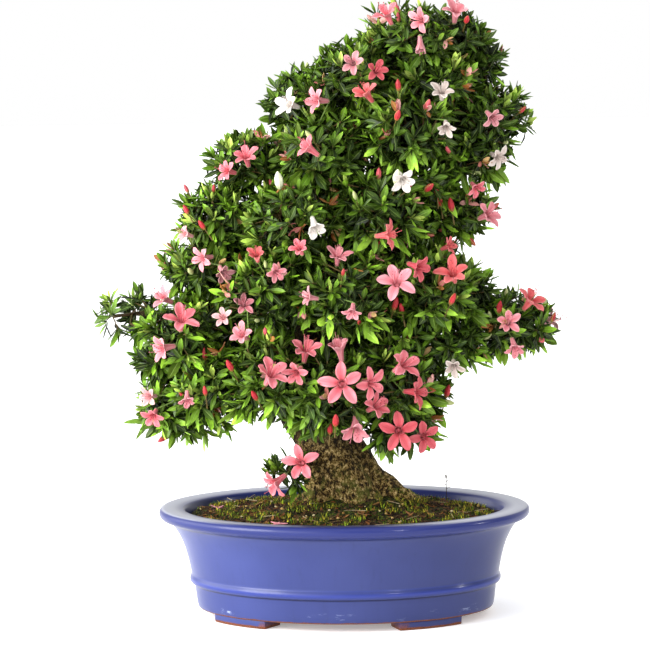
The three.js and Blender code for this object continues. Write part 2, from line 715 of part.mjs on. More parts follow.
// Foliage: every pad's cores and twigs.
const coreOf = (pad, grow) => wasm.Manifold.union([
  ...pad.lumps.map((lump) => coreSolid(lump, grow)), ...twigSolids(pad, grow),
]);
// Then the leaves, shoot by shoot, each tried at a few leans until it is clear of everything else.
const growth = Object.fromEntries(padNames.map((name) => [name, []]));
const rooms = Object.fromEntries(padNames.map((name) => [name, []]));
const coreClear = Object.fromEntries(padNames.map((name) => [name, coreOf(PADS[name], FIT_GAP)]));

function isClearOfPads(name, solid) {
  for (const other of padNames) {
    if (other === name) continue;
    if (overlaps(solid, coreClear[other])) return false;
    for (const taken of [...rooms[other], ...growth[other]]) if (overlaps(solid, taken)) return false;
  }
  return true;
}

function isClear(name, solid) {
  if (solid.boundingBox().min[2] < SOIL_CROWN + 3) return false;
  if (overlaps(solid, woodClear)) return false;
  for (const spray of sprays) if (overlaps(solid, spray.clear)) return false;
  return isClearOfPads(name, solid);
}

function findLeaf(name, hub, axis, out, tilt, scale) {
  const length = LEAF_LENGTH * scale * (0.85 + 0.3 * draw());
  const width = LEAF_WIDTH * scale;
  for (const lean of [0, 0.3, -0.2]) {
    const angle = tilt + lean;
    const way = axis.clone().multiplyScalar(Math.cos(angle)).addScaledVector(out, Math.sin(angle));
    const room = leafRoom(hub, axis, { way, length, width });
    if (!isClear(name, room)) continue;
    rooms[name].push(room);
    return { way, length, width };
  }
  return null;
}

function growShoots(name, lump) {
  const half = lump.slice(3).map((size) => HUB_SHARE * size);
  const mean = Math.cbrt(half[0] * half[1] * half[2]);
  const scale = Math.min(1.1, mean / (HUB_SHARE * FULL_LUMP));
  const area = 4 * Math.PI * mean * mean;
  const count = Math.max(FEWEST_SHOOTS, Math.round(area / (SHOOT_SPACING * SHOOT_SPACING)));
  const golden = Math.PI * (3 - Math.sqrt(5));
  const start = draw() * 2 * Math.PI;
  for (let i = 0; i < count; i++) {
    const z = 1 - (2 * i + 1) / count;
    const round = Math.sqrt(1 - z * z);
    const angle = start + i * golden;
    const centre = vec(lump[0], lump[1], lump[2]);
    const unit = vec(round * Math.cos(angle), round * Math.sin(angle), z);
    const reach = vec(half[0] * unit.x, half[1] * unit.y, half[2] * unit.z);
    const hub = centre.clone().add(reach);
    const buried = padNames.some((pad) => PADS[pad].lumps.some(
      (other) => other !== lump && reachIn(other, other.slice(3), hub) < 0.92,
    ));
    const normal = vec(unit.x / half[0], unit.y / half[1], unit.z / half[2]).normalize();
    const heart = trunkAt(Math.min(hub.z, TRUNK.at(-1)[2])).point;
    const inward = hub.clone().sub(heart).setZ(0).normalize().dot(normal) + Math.max(0, normal.z) < INWARD;
    if (buried || inward) continue;
    const axis = normal.add(vec(0, 0, 0.3)).normalize();
    const across = vec(0.1, 0.2, 1).cross(axis).normalize().applyAxisAngle(axis, start + i);
    const leaves = [];
    for (let k = 0; k < LEAVES_PER_SHOOT; k++) {
      const out = across.clone().applyAxisAngle(axis, (2 * Math.PI * k) / LEAVES_PER_SHOOT);
      leaves.push(findLeaf(name, hub, axis, out, k % 2 ? 0.78 : 1.02, scale));
    }
    const rosette = rosetteSolid(centre.addScaledVector(reach, HEEL_SHARE), hub, axis, across, leaves);
    if (isClearOfPads(name, rosette)) growth[name].push(rosette);
  }
}
for (const name of padNames) for (const lump of PADS[name].lumps) growShoots(name, lump);

// Buds, each on the nearest pad and only where nothing is in its way.
for (const [x, z] of BUDS) {
  const place = vec(x, frontOf(x, z), z);
  const { name, lump } = nearestLump(place);
  const root = onCore(lump, place, -12);
  const way = place.clone().sub(root).normalize().add(vec(0, 0, 0.4)).normalize();
  const bud = budSolid(root, way);
  if (isClear(name, bud)) growth[name].push(bud);
}

const painted = (color, roughness = 0.6) => new THREE.MeshStandardMaterial({ color, roughness });
const tree = new THREE.Group();
tree.rotation.z = TREE_TURN;
tree.add(namedMesh("trunk_and_branches", wood, painted(0x6b5236, 0.9)));
padNames.forEach((name, i) => {
  const whole = wasm.Manifold.union([coreOf(PADS[name], 0), ...growth[name]]);
  const earlier = padNames.slice(0, i).map((other) => coreClear[other]);
  const solid = cutClear(whole, [woodClear, ...sprays.map((spray) => spray.clear), ...earlier]);
  tree.add(namedMesh(name, solid, painted(0x3f7d2c, 0.5)));
});
for (const { name, tint, solid } of sprays) tree.add(namedMesh(name, solid, painted(TINTS[tint], 0.55)));

const bonsai = new THREE.Group();
bonsai.add(namedMesh("pot", potSolid(), painted(0x5a68bf, 0.25)));
const hole = woodSolid(FIT_GAP).rotate([0, 0, THREE.MathUtils.radToDeg(TREE_TURN)]);
bonsai.add(namedMesh("soil", soilSolid(hole), painted(0x4b3a26, 0.95)));
bonsai.add(namedMesh("drain_screen_left", screenSolid(-DRAIN_OFFSET), painted(0x222222, 0.5)));
bonsai.add(namedMesh("drain_screen_right", screenSolid(DRAIN_OFFSET), painted(0x222222, 0.5)));
bonsai.add(tree);

// The origin is under the middle of everything.
const box = new THREE.Box3().setFromObject(bonsai, true);
const middle = box.getCenter(new THREE.Vector3());
bonsai.position.set(-middle.x, -middle.y, -box.min.z);

const part = new THREE.Group();
part.add(bonsai);
export default part;
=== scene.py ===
# %% [markdown]
# # A satsuki azalea bonsai in flower, in an oval glazed pot
#
# The solids of this tree are already made and measured. This lesson dresses them: a glazed pot,
# mossy soil, a fissured trunk, some thirty thousand leaves and seventy open flowers. The packed
# model is loaded first and never changed, and every piece is made in metres in its frame.

# %% Load the fixed frame
import json
import math
import bpy
import numpy as np
from mathutils import Matrix, Vector, noise

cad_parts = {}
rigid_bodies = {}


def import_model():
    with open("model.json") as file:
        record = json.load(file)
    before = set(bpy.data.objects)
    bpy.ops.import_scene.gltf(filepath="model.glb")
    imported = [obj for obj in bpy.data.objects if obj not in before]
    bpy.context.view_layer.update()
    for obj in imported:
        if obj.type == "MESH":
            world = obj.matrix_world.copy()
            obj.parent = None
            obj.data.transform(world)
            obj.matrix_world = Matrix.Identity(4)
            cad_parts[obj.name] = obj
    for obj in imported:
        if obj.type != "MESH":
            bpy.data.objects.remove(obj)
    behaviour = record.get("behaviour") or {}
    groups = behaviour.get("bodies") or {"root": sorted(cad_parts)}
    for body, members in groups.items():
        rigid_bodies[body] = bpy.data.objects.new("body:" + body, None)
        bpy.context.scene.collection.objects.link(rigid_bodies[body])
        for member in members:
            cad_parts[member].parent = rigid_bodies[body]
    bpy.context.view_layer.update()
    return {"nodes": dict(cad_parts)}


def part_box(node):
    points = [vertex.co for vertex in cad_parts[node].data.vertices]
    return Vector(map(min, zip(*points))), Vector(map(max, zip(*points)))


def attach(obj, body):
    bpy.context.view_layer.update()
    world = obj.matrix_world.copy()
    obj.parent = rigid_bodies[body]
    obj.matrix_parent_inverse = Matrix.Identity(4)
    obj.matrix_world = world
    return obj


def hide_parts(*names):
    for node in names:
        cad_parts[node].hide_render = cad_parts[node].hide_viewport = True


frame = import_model()
rng = np.random.default_rng(7)

# %% [markdown]
# ## Two sets of axes
#
# The pot stands square to the frame, but whoever planted the tree turned its best side a little
# away from the pot's. Everything that grows is easier to place in the tree's own axes, X across
# its front and -Y towards the viewer, in millimetres from the pot's centre. One matrix carries
# those places into the frame, so it is made before anything else.

# %% The tree's axes
MM = 0.001
TREE_TURN = math.radians(8.4)
pot_low, pot_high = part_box("pot")
pot_centre = (pot_low + pot_high) / 2
pot_axes = Matrix.Translation((pot_centre.x, pot_centre.y, 0)) @ Matrix.Scale(MM, 4)
tree_axes = pot_axes @ Matrix.Rotation(TREE_TURN, 4, "Z")
print("pot centre", [round(v, 4) for v in pot_centre])

# %% [markdown]
# ## The camera
#
# A long lens a few metres away keeps the pot's oval and the tree's outline calm. The camera looks
# at the tree's own front, slightly down into the pot, so it is placed in the tree's axes too.

# %% Camera
CAMERA_PLACE = (-17, -3320, 630)
CAMERA_DOWN = 5.34
CAMERA_ROLL = -1.05
camera_data = bpy.data.cameras.new("camera")
camera_data.sensor_width = 36
camera_data.lens = 168.26
camera_data.clip_end = 100
camera = bpy.data.objects.new("camera", camera_data)
bpy.context.scene.collection.objects.link(camera)
stand = tree_axes @ Vector(CAMERA_PLACE)
tilt = Matrix.Rotation(TREE_TURN, 4, "Z") @ Matrix.Rotation(math.radians(90 - CAMERA_DOWN), 4, "X")
roll = Matrix.Rotation(math.radians(CAMERA_ROLL), 4, "Z")
camera.matrix_world = Matrix.Translation(stand) @ tilt @ roll
bpy.context.scene.camera = camera
print("camera stands", round((stand - pot_centre).length, 2), "m away")

# %% [markdown]
# ## Helpers for modelling by hand in code
#
# Operators act on whatever is selected, so each piece starts with nothing selected and a fresh
# primitive, and edit mode with everything selected. A finished piece has its modifiers applied
# and its place in its mesh, rides on the one body of the frame, and stands for the plain solid
# that it covers.

# %% Modelling helpers
def start_piece(add, **sizes):
    if bpy.context.object and bpy.context.object.mode != "OBJECT":
        bpy.ops.object.mode_set(mode="OBJECT")
    bpy.ops.object.select_all(action="DESELECT")
    add(**sizes)
    return bpy.context.object


def select_pieces(pieces):
    bpy.ops.object.select_all(action="DESELECT")
    for piece in pieces:
        piece.select_set(True)
    bpy.context.view_layer.objects.active = pieces[0]


def edit_all():
    """Edit mode on the active piece, with all of it selected."""
    bpy.ops.object.mode_set(mode="EDIT")
    bpy.ops.mesh.select_all(action="SELECT")


def end_edit(outwards=False):
    """Back to object mode, with all faces turned outwards first where asked."""
    if outwards:
        bpy.ops.mesh.select_all(action="SELECT")
        bpy.ops.mesh.normals_make_consistent(inside=False)
    bpy.ops.object.mode_set(mode="OBJECT")


def start_ring(sides):
    return start_piece(bpy.ops.mesh.primitive_circle_add, vertices=sides, radius=1, location=(0, 0, 0))


def draw_rings(steps):
    """Fills the active circle and extrudes it upwards, as rings of points to be placed later."""
    edit_all()
    bpy.ops.mesh.edge_face_add()
    for _ in range(steps):
        bpy.ops.mesh.extrude_region_move(TRANSFORM_OT_translate={"value": (0, 0, 1)})
    end_edit()


def apply_modifiers(piece):
    select_pieces([piece])
    for modifier in list(piece.modifiers):
        bpy.ops.object.modifier_apply(modifier=modifier.name)


def join_pieces(pieces):
    select_pieces(pieces)
    bpy.ops.object.join()
    return bpy.context.object


def hand_over(piece, name, finish, node=None):
    piece.name = piece.data.name = name
    piece.data.transform(piece.matrix_world)
    piece.matrix_world = Matrix.Identity(4)
    piece.data.materials.clear()
    piece.data.materials.append(finish)
    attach(piece, "root")
    if node:
        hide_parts(node)


def read_points(piece, key):
    flat = np.empty(len(piece.data.vertices) * 3, np.float32)
    piece.data.vertices.foreach_get(key, flat)
    return flat.reshape(-1, 3).astype(float)


def points_of(piece):
    return read_points(piece, "co")


def move_points(piece, points):
    piece.data.vertices.foreach_set("co", np.asarray(points, np.float32).ravel())
    piece.data.update()


def carry(axes, points):
    turn = np.array(axes)
    return np.asarray(points) @ turn[:3, :3].T + turn[:3, 3]


def triangles(piece):
    return sum(len(face.vertices) - 2 for face in piece.data.polygons)


print("modelling helpers ready")

# %% [markdown]
# ## Helpers for procedural finishes
#
# Each finish is a small tree of nodes on a Principled shader. These helpers add the few kinds of
# node that all of them use: noise on the object's own coordinates, a sum, a colour ramp, a mix,
# a soft step and a bump.

# %% Finish helpers
def new_finish(name, roughness, **sockets):
    finish = bpy.data.materials.new(name)
    finish.use_nodes = True
    shader = finish.node_tree.nodes["Principled BSDF"]
    shader.inputs["Roughness"].default_value = roughness
    for socket, value in sockets.items():
        shader.inputs[socket.replace("_", " ")].default_value = value
    return finish, shader


def node(finish, kind, **values):
    made = finish.node_tree.nodes.new(kind)
    for key, value in values.items():
        if hasattr(made, key):
            setattr(made, key, value)
        else:
            made.inputs[key.replace("_", " ")].default_value = value
    return made


def link(finish, out, socket):
    finish.node_tree.links.new(out, socket)


def sum_of(finish, operation, *values):
    """One step of arithmetic on sockets and plain numbers."""
    made = node(finish, "ShaderNodeMath", operation=operation)
    for value, socket in zip(values, made.inputs):
        if isinstance(value, float):
            socket.default_value = value
        else:
            link(finish, value, socket)
    return made.outputs[0]


def axes_of(finish, out):
    """X, Y and Z of a vector, apart."""
    made = node(finish, "ShaderNodeSeparateXYZ")
    link(finish, out, made.inputs["Vector"])
    return made.outputs


def object_axes(finish):
    return axes_of(finish, node(finish, "ShaderNodeTexCoord").outputs["Object"])


def pattern(finish, kind="ShaderNodeTexNoise", stretch=(1, 1, 1), **values):
    """A texture on the object's own coordinates, stretched along its axes."""
    place = node(finish, "ShaderNodeTexCoord")
    shape = node(finish, "ShaderNodeMapping")
    shape.inputs["Scale"].default_value = stretch
    made = node(finish, kind, **values)
    link(finish, place.outputs["Object"], shape.inputs["Vector"])
    link(finish, shape.outputs["Vector"], made.inputs["Vector"])
    return made


def ramp(finish, out, stops):
    made = node(finish, "ShaderNodeValToRGB")
    while len(made.color_ramp.elements) < len(stops):
        made.color_ramp.elements.new(0.5)
    for element, (place, colour) in zip(made.color_ramp.elements, stops):
        element.position = place
        element.color = (*colour, 1)
    link(finish, out, made.inputs["Fac"])
    return made.outputs["Color"]


def mix(finish, share, first, second, blend="MIX"):
    made = node(finish, "ShaderNodeMix", data_type="RGBA", blend_type=blend)
    for value, socket in ((share, made.inputs[0]), (first, made.inputs[6]), (second, made.inputs[7])):
        if isinstance(value, (int, float)):
            socket.default_value = value
        elif isinstance(value, tuple):
            socket.default_value = (*value, 1)
        else:
            link(finish, value, socket)
    return made.outputs[2]


def band(finish, out, low, high):
    """0 below low, 1 above high, and smooth between."""
    made = node(finish, "ShaderNodeMapRange", interpolation_type="SMOOTHSTEP")
    link(finish, out, made.inputs["Value"])
    made.inputs["From Min"].default_value = low
    made.inputs["From Max"].default_value = high
    return made.outputs["Result"]


def bump(finish, shader, out, depth, strength=1.0):
    made = node(finish, "ShaderNodeBump", Strength=strength, Distance=depth)
    link(finish, out, made.inputs["Height"])
    link(finish, made.outputs["Normal"], shader.inputs["Normal"])


def srgb(text):
    """A colour from its six hex digits, as the shader wants it."""
    parts = [int(text[i:i + 2], 16) / 255 for i in (0, 2, 4)]
    return tuple(p / 12.92 if p <= 0.04045 else ((p + 0.055) / 1.055) ** 2.4 for p in parts)


print("finish helpers ready")

# %% [markdown]
# ## The pot's shape
#
# The pot is thrown as an oval: a flat rim with a rounded edge, a wall that draws in below it in a
# hollow curve, a half-round band low down, and a straight foot. One ring of points is extruded
# through its profile. Every ring keeps the same difference between its length and its width, as
# a bent strip of clay does, so the oval grows rounder on the way up.

# %% Pot profile and body
POT_HALF_LENGTH = 205
POT_HALF_WIDTH = 162
OVAL_DIFFERENCE = POT_HALF_LENGTH - POT_HALF_WIDTH
POT_POINTS = 144
FLOOR_UNDERSIDE = 9
POT_PROFILE = [
    (60, 9.0), (43.6, 9.0), (42.2, 9.5), (41.2, 10.8), (40.4, 14), (39.5, 20), (38.4, 29), (38.0, 33.6),
    (37.4, 35.2), (36.3, 36.0), (34.4, 36.8), (33.0, 38.6), (32.5, 41.0), (33.0, 43.6), (34.0, 45.2),
    (34.5, 46.6), (34.2, 49), (32.6, 57), (30.6, 66), (28.2, 75), (25.0, 84), (21.2, 92), (17.2, 98.6),
    (14.4, 102.4), (12.2, 104.6), (9.4, 106.2), (6.0, 107.2), (3.2, 108.4), (1.2, 110.2), (0.2, 112.4),
    (0.0, 114.6), (0.5, 116.8), (1.7, 118.6), (3.6, 119.7), (5.6, 120.0), (14, 119.5), (25.4, 118.7),
    (27.2, 118.2), (28.4, 117.0), (29.2, 115), (30.6, 110), (34, 100), (42, 65), (50, 31), (66, 19.5),
]


def ring_half_sizes(inset):
    along = POT_HALF_LENGTH - inset
    return along, along - OVAL_DIFFERENCE


pot = start_ring(POT_POINTS)
edit_all()
now = (1.0, 1.0, 0.0)
for step, (inset, height) in enumerate(POT_PROFILE):
    along, across = ring_half_sizes(inset)
    if step:
        bpy.ops.mesh.extrude_edges_move()
    bpy.ops.transform.resize(value=(along / now[0], across / now[1], 1))
    bpy.ops.transform.translate(value=(0, 0, height - now[2]))
    now = (along, across, height)
bpy.ops.mesh.edge_face_add()
bpy.ops.mesh.select_all(action="DESELECT")
bpy.ops.object.mode_set(mode="OBJECT")
for v in pot.data.vertices:
    v.select = abs(v.co.z - FLOOR_UNDERSIDE) < 1e-3 and (v.co.x / 145) ** 2 + (v.co.y / 102) ** 2 < 1.02
bpy.ops.object.mode_set(mode="EDIT")
bpy.ops.mesh.edge_face_add()
end_edit(outwards=True)
print("pot body:", len(pot.data.polygons), "faces")

# %% [markdown]
# Four low feet are cut from one ring of clay under the edge of the base. Each is a strip of a
# grid that is laid along the oval, extruded down to the table and softened with a bevel. The
# ends slope inwards a little, as a wire leaves them. Two drain holes are bored with a cylinder.
# The feet's cut ends are marked with an attribute, because no glaze sticks to them.

# %% Feet and drain holes
FOOT_TURNS = [(32, 63), (117, 148), (212, 243), (297, 328)]
FOOT_MIDDLE = 146
FOOT_HALF_WIDTH = 14.6
FOOT_HEIGHT = 11
GLAZE_START = 8.6
feet = []
for start, end in FOOT_TURNS:
    foot = start_piece(
        bpy.ops.mesh.primitive_grid_add, x_subdivisions=14, y_subdivisions=2, size=2, location=(0, 0, 0))
    places = points_of(foot)
    turns = np.radians(start + (places[:, 0] + 1) / 2 * (end - start))
    along = FOOT_MIDDLE + FOOT_HALF_WIDTH * places[:, 1]
    across = along - OVAL_DIFFERENCE
    move_points(foot, np.stack([
        along * np.cos(turns), across * np.sin(turns), np.full(len(turns), float(FOOT_HEIGHT))], 1))
    edit_all()
    bpy.ops.mesh.extrude_region_move(TRANSFORM_OT_translate={"value": (0, 0, -FOOT_HEIGHT)})
    bpy.ops.transform.resize(value=(0.985, 0.985, 1))
    end_edit(outwards=True)
    soften = foot.modifiers.new("soften", "BEVEL")
    soften.width = 1.1
    soften.segments = 2
    soften.angle_limit = math.radians(50)
    apply_modifiers(foot)
    feet.append(foot)

DRAIN_OFFSET = 68
for side in (-1, 1):
    drill = start_piece(
        bpy.ops.mesh.primitive_cylinder_add, vertices=32, radius=11, depth=40,
        location=(side * DRAIN_OFFSET, 0, 15))
    cut = pot.modifiers.new("drain", "BOOLEAN")
    cut.operation = "DIFFERENCE"
    cut.solver = "EXACT"
    cut.object = drill
    apply_modifiers(pot)
    bpy.data.objects.remove(drill)
pot = join_pieces([pot, *feet])
places = points_of(pot)
foot_oval = (FOOT_MIDDLE, FOOT_MIDDLE - OVAL_DIFFERENCE)
turns = np.degrees(np.arctan2(places[:, 1] / foot_oval[1], places[:, 0] / foot_oval[0])) % 360
cut_ends = np.array([min(abs(turn - end) for pair in FOOT_TURNS for end in pair) for turn in turns]) < 1.6
bare_clay = pot.data.attributes.new("bare_clay", "FLOAT", "POINT")
bare_clay.data.foreach_set("value", (cut_ends & (places[:, 2] < GLAZE_START)).astype(np.float32))
select_pieces([pot])
bpy.ops.object.shade_smooth_by_angle(angle=math.radians(40))
move_points(pot, carry(pot_axes, points_of(pot)))
print("pot with feet:", len(pot.data.polygons), "faces")

# %% [markdown]
# ## The glaze
#
# A soft-gloss periwinkle-blue glaze. It pools darker round the band and is deepest on the lip
# itself, and a painted shade darkens it in a line under the lip and under the band. A dark line
# runs just above the feet. The lip's flat top is painted pale grey, a painted reflection of the
# bright sky, except at the front. Its tone is painted darker towards the right, a painted shade
# for the light that falls away there. Faint upright streaks and specks run down the wall, and a
# little white lime has crept up from the foot. The clay shows rust-brown where the base was wiped
# clean.
# Nearly all of this goes by height above the table, so height is read once and shared.

# %% Glaze finish
glaze, shader = new_finish("blue_glaze", 0.3, Specular_IOR_Level=0.16, Coat_Weight=0.2, Coat_Roughness=0.12)
side, depth, level = object_axes(glaze)
cloud = pattern(glaze, Scale=9.0, Detail=3.0)
streak = pattern(glaze, stretch=(1, 1, 0.12), Scale=160.0, Detail=4.0)
colour = ramp(glaze, cloud.outputs["Fac"], [(0.3, srgb("333C72")), (0.7, srgb("3D4780"))])
colour = mix(glaze, band(glaze, streak.outputs["Fac"], 0.5, 1.1), colour, srgb("303A68"))
# Painted shade: the glaze's tone is painted darker towards the right of the pot, standing in for the light
# that falls away there.
fall = ramp(glaze, band(glaze, side, -0.2, 0.2), [(0.0, (1, 1, 1)), (1.0, (0.6, 0.6, 0.64))])
colour = mix(glaze, 1.0, colour, fall, "MULTIPLY")
speck = pattern(glaze, "ShaderNodeTexVoronoi", Scale=110.0)
colour = mix(glaze, band(glaze, speck.outputs["Distance"], 0.055, 0.02), colour, srgb("33406F"))


def near_height(middle, reach):
    """1 at a height and 0 beyond its reach: for glaze that gathers in a hollow, for painted shade under a
    ledge, and for lime near the foot.
    """
    away = sum_of(glaze, "SUBTRACT", level, middle)
    return band(glaze, sum_of(glaze, "ABSOLUTE", away), reach, 0)


# Rows of height, reach and tint: painted shade under the band at 35.6 mm and under the lip at 105.2 mm,
# glaze pooled on and above the band, and a dark line just above the feet.
for middle, reach, tint in (
    (0.0356, 0.0018, "181C40"), (0.1052, 0.003, "252C58"), (0.0463, 0.0016, "343E78"),
    (0.0410, 0.004, "2E3A82"), (0.0098, 0.0012, "2A2740"),
):
    colour = mix(glaze, near_height(middle, reach), colour, srgb(tint))
colour = mix(glaze, band(glaze, level, 0.1068, 0.1086), colour, srgb("272F68"))
# Painted reflection: the lip's flat top is painted pale grey, as the bright sky would show in it, except at
# the front.
dust_and_sheen = sum_of(glaze, "MULTIPLY", band(glaze, level, 0.1184, 0.1195), band(glaze, depth, -0.150, -0.100))
colour = mix(glaze, dust_and_sheen, colour, srgb("9699AA"))
lime = pattern(glaze, stretch=(1, 1, 3.5), Scale=26.0, Detail=8.0, Roughness=0.75)
lime_low = sum_of(glaze, "MULTIPLY", band(glaze, lime.outputs["Fac"], 0.56, 0.68), near_height(0.016, 0.007))
colour = mix(glaze, lime_low, colour, srgb("9FA9C8"))
print("glaze colours:", len(glaze.node_tree.nodes), "nodes")

# %% [markdown]
# Bare clay takes over from glaze below a ragged line: under the base, in a narrow strip along its
# edge, and on the cut ends of the feet. Clay is dull where the glaze shines, so the same mask
# also drives the roughness.

# %% Bare clay under the glaze
wipe = pattern(glaze, Scale=70.0, Detail=2.0)
ragged = sum_of(glaze, "MULTIPLY_ADD", wipe.outputs["Fac"], -0.0022, level)
under_base = band(glaze, ragged, 0.0024, 0.0014)
base_line = sum_of(
    glaze, "MULTIPLY", band(glaze, ragged, 0.0100, 0.0093), band(glaze, ragged, 0.0074, 0.0079))
ends = node(glaze, "ShaderNodeAttribute", attribute_name="bare_clay")
clay = sum_of(glaze, "MAXIMUM", under_base, ends.outputs["Fac"])
clay = sum_of(glaze, "MAXIMUM", clay, base_line)
grit = pattern(glaze, Scale=900.0, Detail=2.0)
clay_colour = ramp(glaze, grit.outputs["Fac"], [(0.3, srgb("3C200F")), (0.7, srgb("84482A"))])
colour = mix(glaze, clay, colour, clay_colour)
link(glaze, colour, shader.inputs["Base Color"])
dull = node(glaze, "ShaderNodeMapRange")
link(glaze, clay, dull.inputs["Value"])
dull.inputs["To Min"].default_value = 0.3
dull.inputs["To Max"].default_value = 0.75
link(glaze, dull.outputs["Result"], shader.inputs["Roughness"])
ripple = pattern(glaze, Scale=26.0, Detail=2.0)
bump(glaze, shader, ripple.outputs["Fac"], 0.0006, 0.25)
hand_over(pot, "glazed_pot", glaze, "pot")
print("glaze nodes:", len(glaze.node_tree.nodes))

# %% [markdown]
# ## The ground
#
# The soil rises in a low dome from just under the rim, with a mound round the foot of the trunk.
# A fine disc of rings is lifted onto that shape and roughened with noise, and its colour goes
# from moss to bare soil and rotting leaves by the same kind of noise. A skirt runs down inside
# the pot, so that it is one closed body.

# %% Soil surface
SOIL_EDGE = 106
SOIL_CROWN = 121
SOIL_HALF_LENGTH, SOIL_HALF_WIDTH = 171.5, 128.5
SOIL_BOTTOM = (138, 95, 20.5)


def soil_height(x, y):
    edge = np.minimum(1, np.hypot(x / (POT_HALF_LENGTH - 32), y / (POT_HALF_WIDTH - 32)))
    dome = SOIL_EDGE + 3.5 + (SOIL_CROWN - SOIL_EDGE - 3.5) * (1 - edge ** 2.2)
    mounds = 1.8 * np.sin(x * 0.075 + 1) * np.cos(y * 0.09) + 1.1 * np.sin(x * 0.19 + y * 0.13)
    foot = 15 * np.exp(-((x - 12) / 74) ** 2 - ((y + 14) / 50) ** 2)
    left_bank = 3.5 * edge ** 3 * np.clip(-x / 150 + 0.3, 0, 1)
    return dome + mounds * (1 - edge ** 6) + foot + left_bank


def rough(points, size, depth, octaves=3):
    return depth * np.array([noise.fractal(Vector(p) / size, 0.6, 2.0, octaves) for p in points])


soil = start_ring(160)
edit_all()
bpy.ops.transform.resize(value=(SOIL_BOTTOM[0], SOIL_BOTTOM[1], 1))
bpy.ops.transform.translate(value=(0, 0, SOIL_BOTTOM[2]))
last = SOIL_BOTTOM
steps = [(154, 111, 33), (SOIL_HALF_LENGTH, SOIL_HALF_WIDTH, 105.0)]
steps += [(SOIL_HALF_LENGTH * share, SOIL_HALF_WIDTH * share, 106.0)
          for share in np.linspace(0.985, 0.012, 62)]
for step in steps:
    bpy.ops.mesh.extrude_edges_move()
    bpy.ops.transform.resize(value=(step[0] / last[0], step[1] / last[1], 1))
    bpy.ops.transform.translate(value=(0, 0, step[2] - last[2]))
    last = step
bpy.ops.mesh.edge_face_add()
bpy.ops.object.mode_set(mode="OBJECT")
points = points_of(soil)
for v in soil.data.vertices:
    v.select = v.co.z < SOIL_BOTTOM[2] + 0.5
bpy.ops.object.mode_set(mode="EDIT")
bpy.ops.mesh.edge_face_add()
end_edit(outwards=True)
top = points[:, 2] > 105.5
x, y = points[top, 0], points[top, 1]
lump = rough(points[top] * (1, 1, 0), 17, 2.0) + rough(points[top] * (1, 1, 0), 4.5, 1.1, 4)
inside = 1 - np.hypot(x / SOIL_HALF_LENGTH, y / SOIL_HALF_WIDTH) ** 10
points[top, 2] = soil_height(x, y) - 1.2 + lump * inside
move_points(soil, carry(pot_axes, points))
print("soil:", len(soil.data.polygons), "faces, top between",
      points[top, 2].min().round(1), "and", points[top, 2].max().round(1), "mm")

# %% Soil finish
earth, shader = new_finish("mossy_soil", 0.95, Specular_IOR_Level=0.2)
patch = pattern(earth, Scale=34.0, Detail=5.0, Roughness=0.65)
crumb = pattern(earth, Scale=420.0, Detail=3.0)
litter = pattern(earth, stretch=(1, 1.6, 1), Scale=150.0, Detail=2.0)
ground = ramp(earth, crumb.outputs["Fac"], [
    (0.3, srgb("0A0603")), (0.5, srgb("1E130A")), (0.62, srgb("452B17")), (0.78, srgb("8A6A42"))])
moss = ramp(earth, crumb.outputs["Fac"], [
    (0.34, srgb("080C04")), (0.5, srgb("222B08")), (0.68, srgb("56641A"))])
colour = mix(earth, band(earth, patch.outputs["Fac"], 0.42, 0.56), ground, moss)
colour = mix(earth, band(earth, litter.outputs["Fac"], 0.66, 0.72), colour, srgb("7E3F1F"))
link(earth, colour, shader.inputs["Base Color"])
bump(earth, shader, crumb.outputs["Fac"], 0.0012, 0.8)
print("soil finish:", len(earth.node_tree.nodes), "nodes")

# %% [markdown]
# ## Stamping copies
#
# Moss tips, grains, leaves and petals repeat by the thousand. Each is modelled once as a small
# mesh, and its points are then turned, scaled and placed in bulk, so that every copy has its own
# points in one ordinary mesh. Each copy carries its own tint on its points, which its finish
# reads as an attribute.

# %% Stamping helper
class Shape:
    """A small model's points, faces and UVs, taken from a finished object, which is removed."""

    def __init__(self, piece):
        self.points = points_of(piece)
        self.faces = [tuple(face.vertices) for face in piece.data.polygons]
        layer = piece.data.uv_layers.active
        count = len(piece.data.loops)
        self.uvs = np.zeros((count, 2), np.float32)
        if layer:
            flat = np.empty(count * 2, np.float32)
            layer.data.foreach_get("uv", flat)
            self.uvs = flat.reshape(-1, 2)
        bpy.data.objects.remove(piece)


class Stack:
    """Copies gathered for one piece."""

    def __init__(self):
        self.points, self.faces, self.uvs, self.tints, self.count = [], [], [], [], 0

    def add(self, shape, turns, places, tint, points=None):
        """Copies of a shape, one for each 3x3 turn and place, tinted as wholes or point by point."""
        if not len(turns):
            return
        size = len(shape.points)
        base = np.broadcast_to(shape.points if points is None else points, (len(turns), size, 3))
        made = np.einsum("nij,nvj->nvi", np.asarray(turns), base) + np.asarray(places)[:, None]
        for copy in range(len(turns)):
            first = self.count + copy * size
            self.faces.extend([tuple(first + v for v in face) for face in shape.faces])
        self.points.append(made.reshape(-1, 3))
        self.uvs.append(np.tile(shape.uvs, (len(turns), 1)))
        tint = np.asarray(tint, np.float32)
        self.tints.append((np.repeat(tint, size, 0) if tint.ndim == 2 else tint).reshape(-1, 3))
        self.count += len(turns) * size

    def piece(self, name, axes):
        mesh = bpy.data.meshes.new(name)
        mesh.from_pydata(carry(axes, np.concatenate(self.points)).tolist(), [], self.faces)
        layer = mesh.uv_layers.new(name="UVMap")
        layer.data.foreach_set("uv", np.concatenate(self.uvs).astype(np.float32).ravel())
        colours = np.ones((self.count, 4), np.float32)
        colours[:, :3] = np.concatenate(self.tints)
        mesh.attributes.new("tint", "FLOAT_COLOR", "POINT").data.foreach_set("color", colours.ravel())
        made = bpy.data.objects.new(name, mesh)
        bpy.context.scene.collection.objects.link(made)
        return made


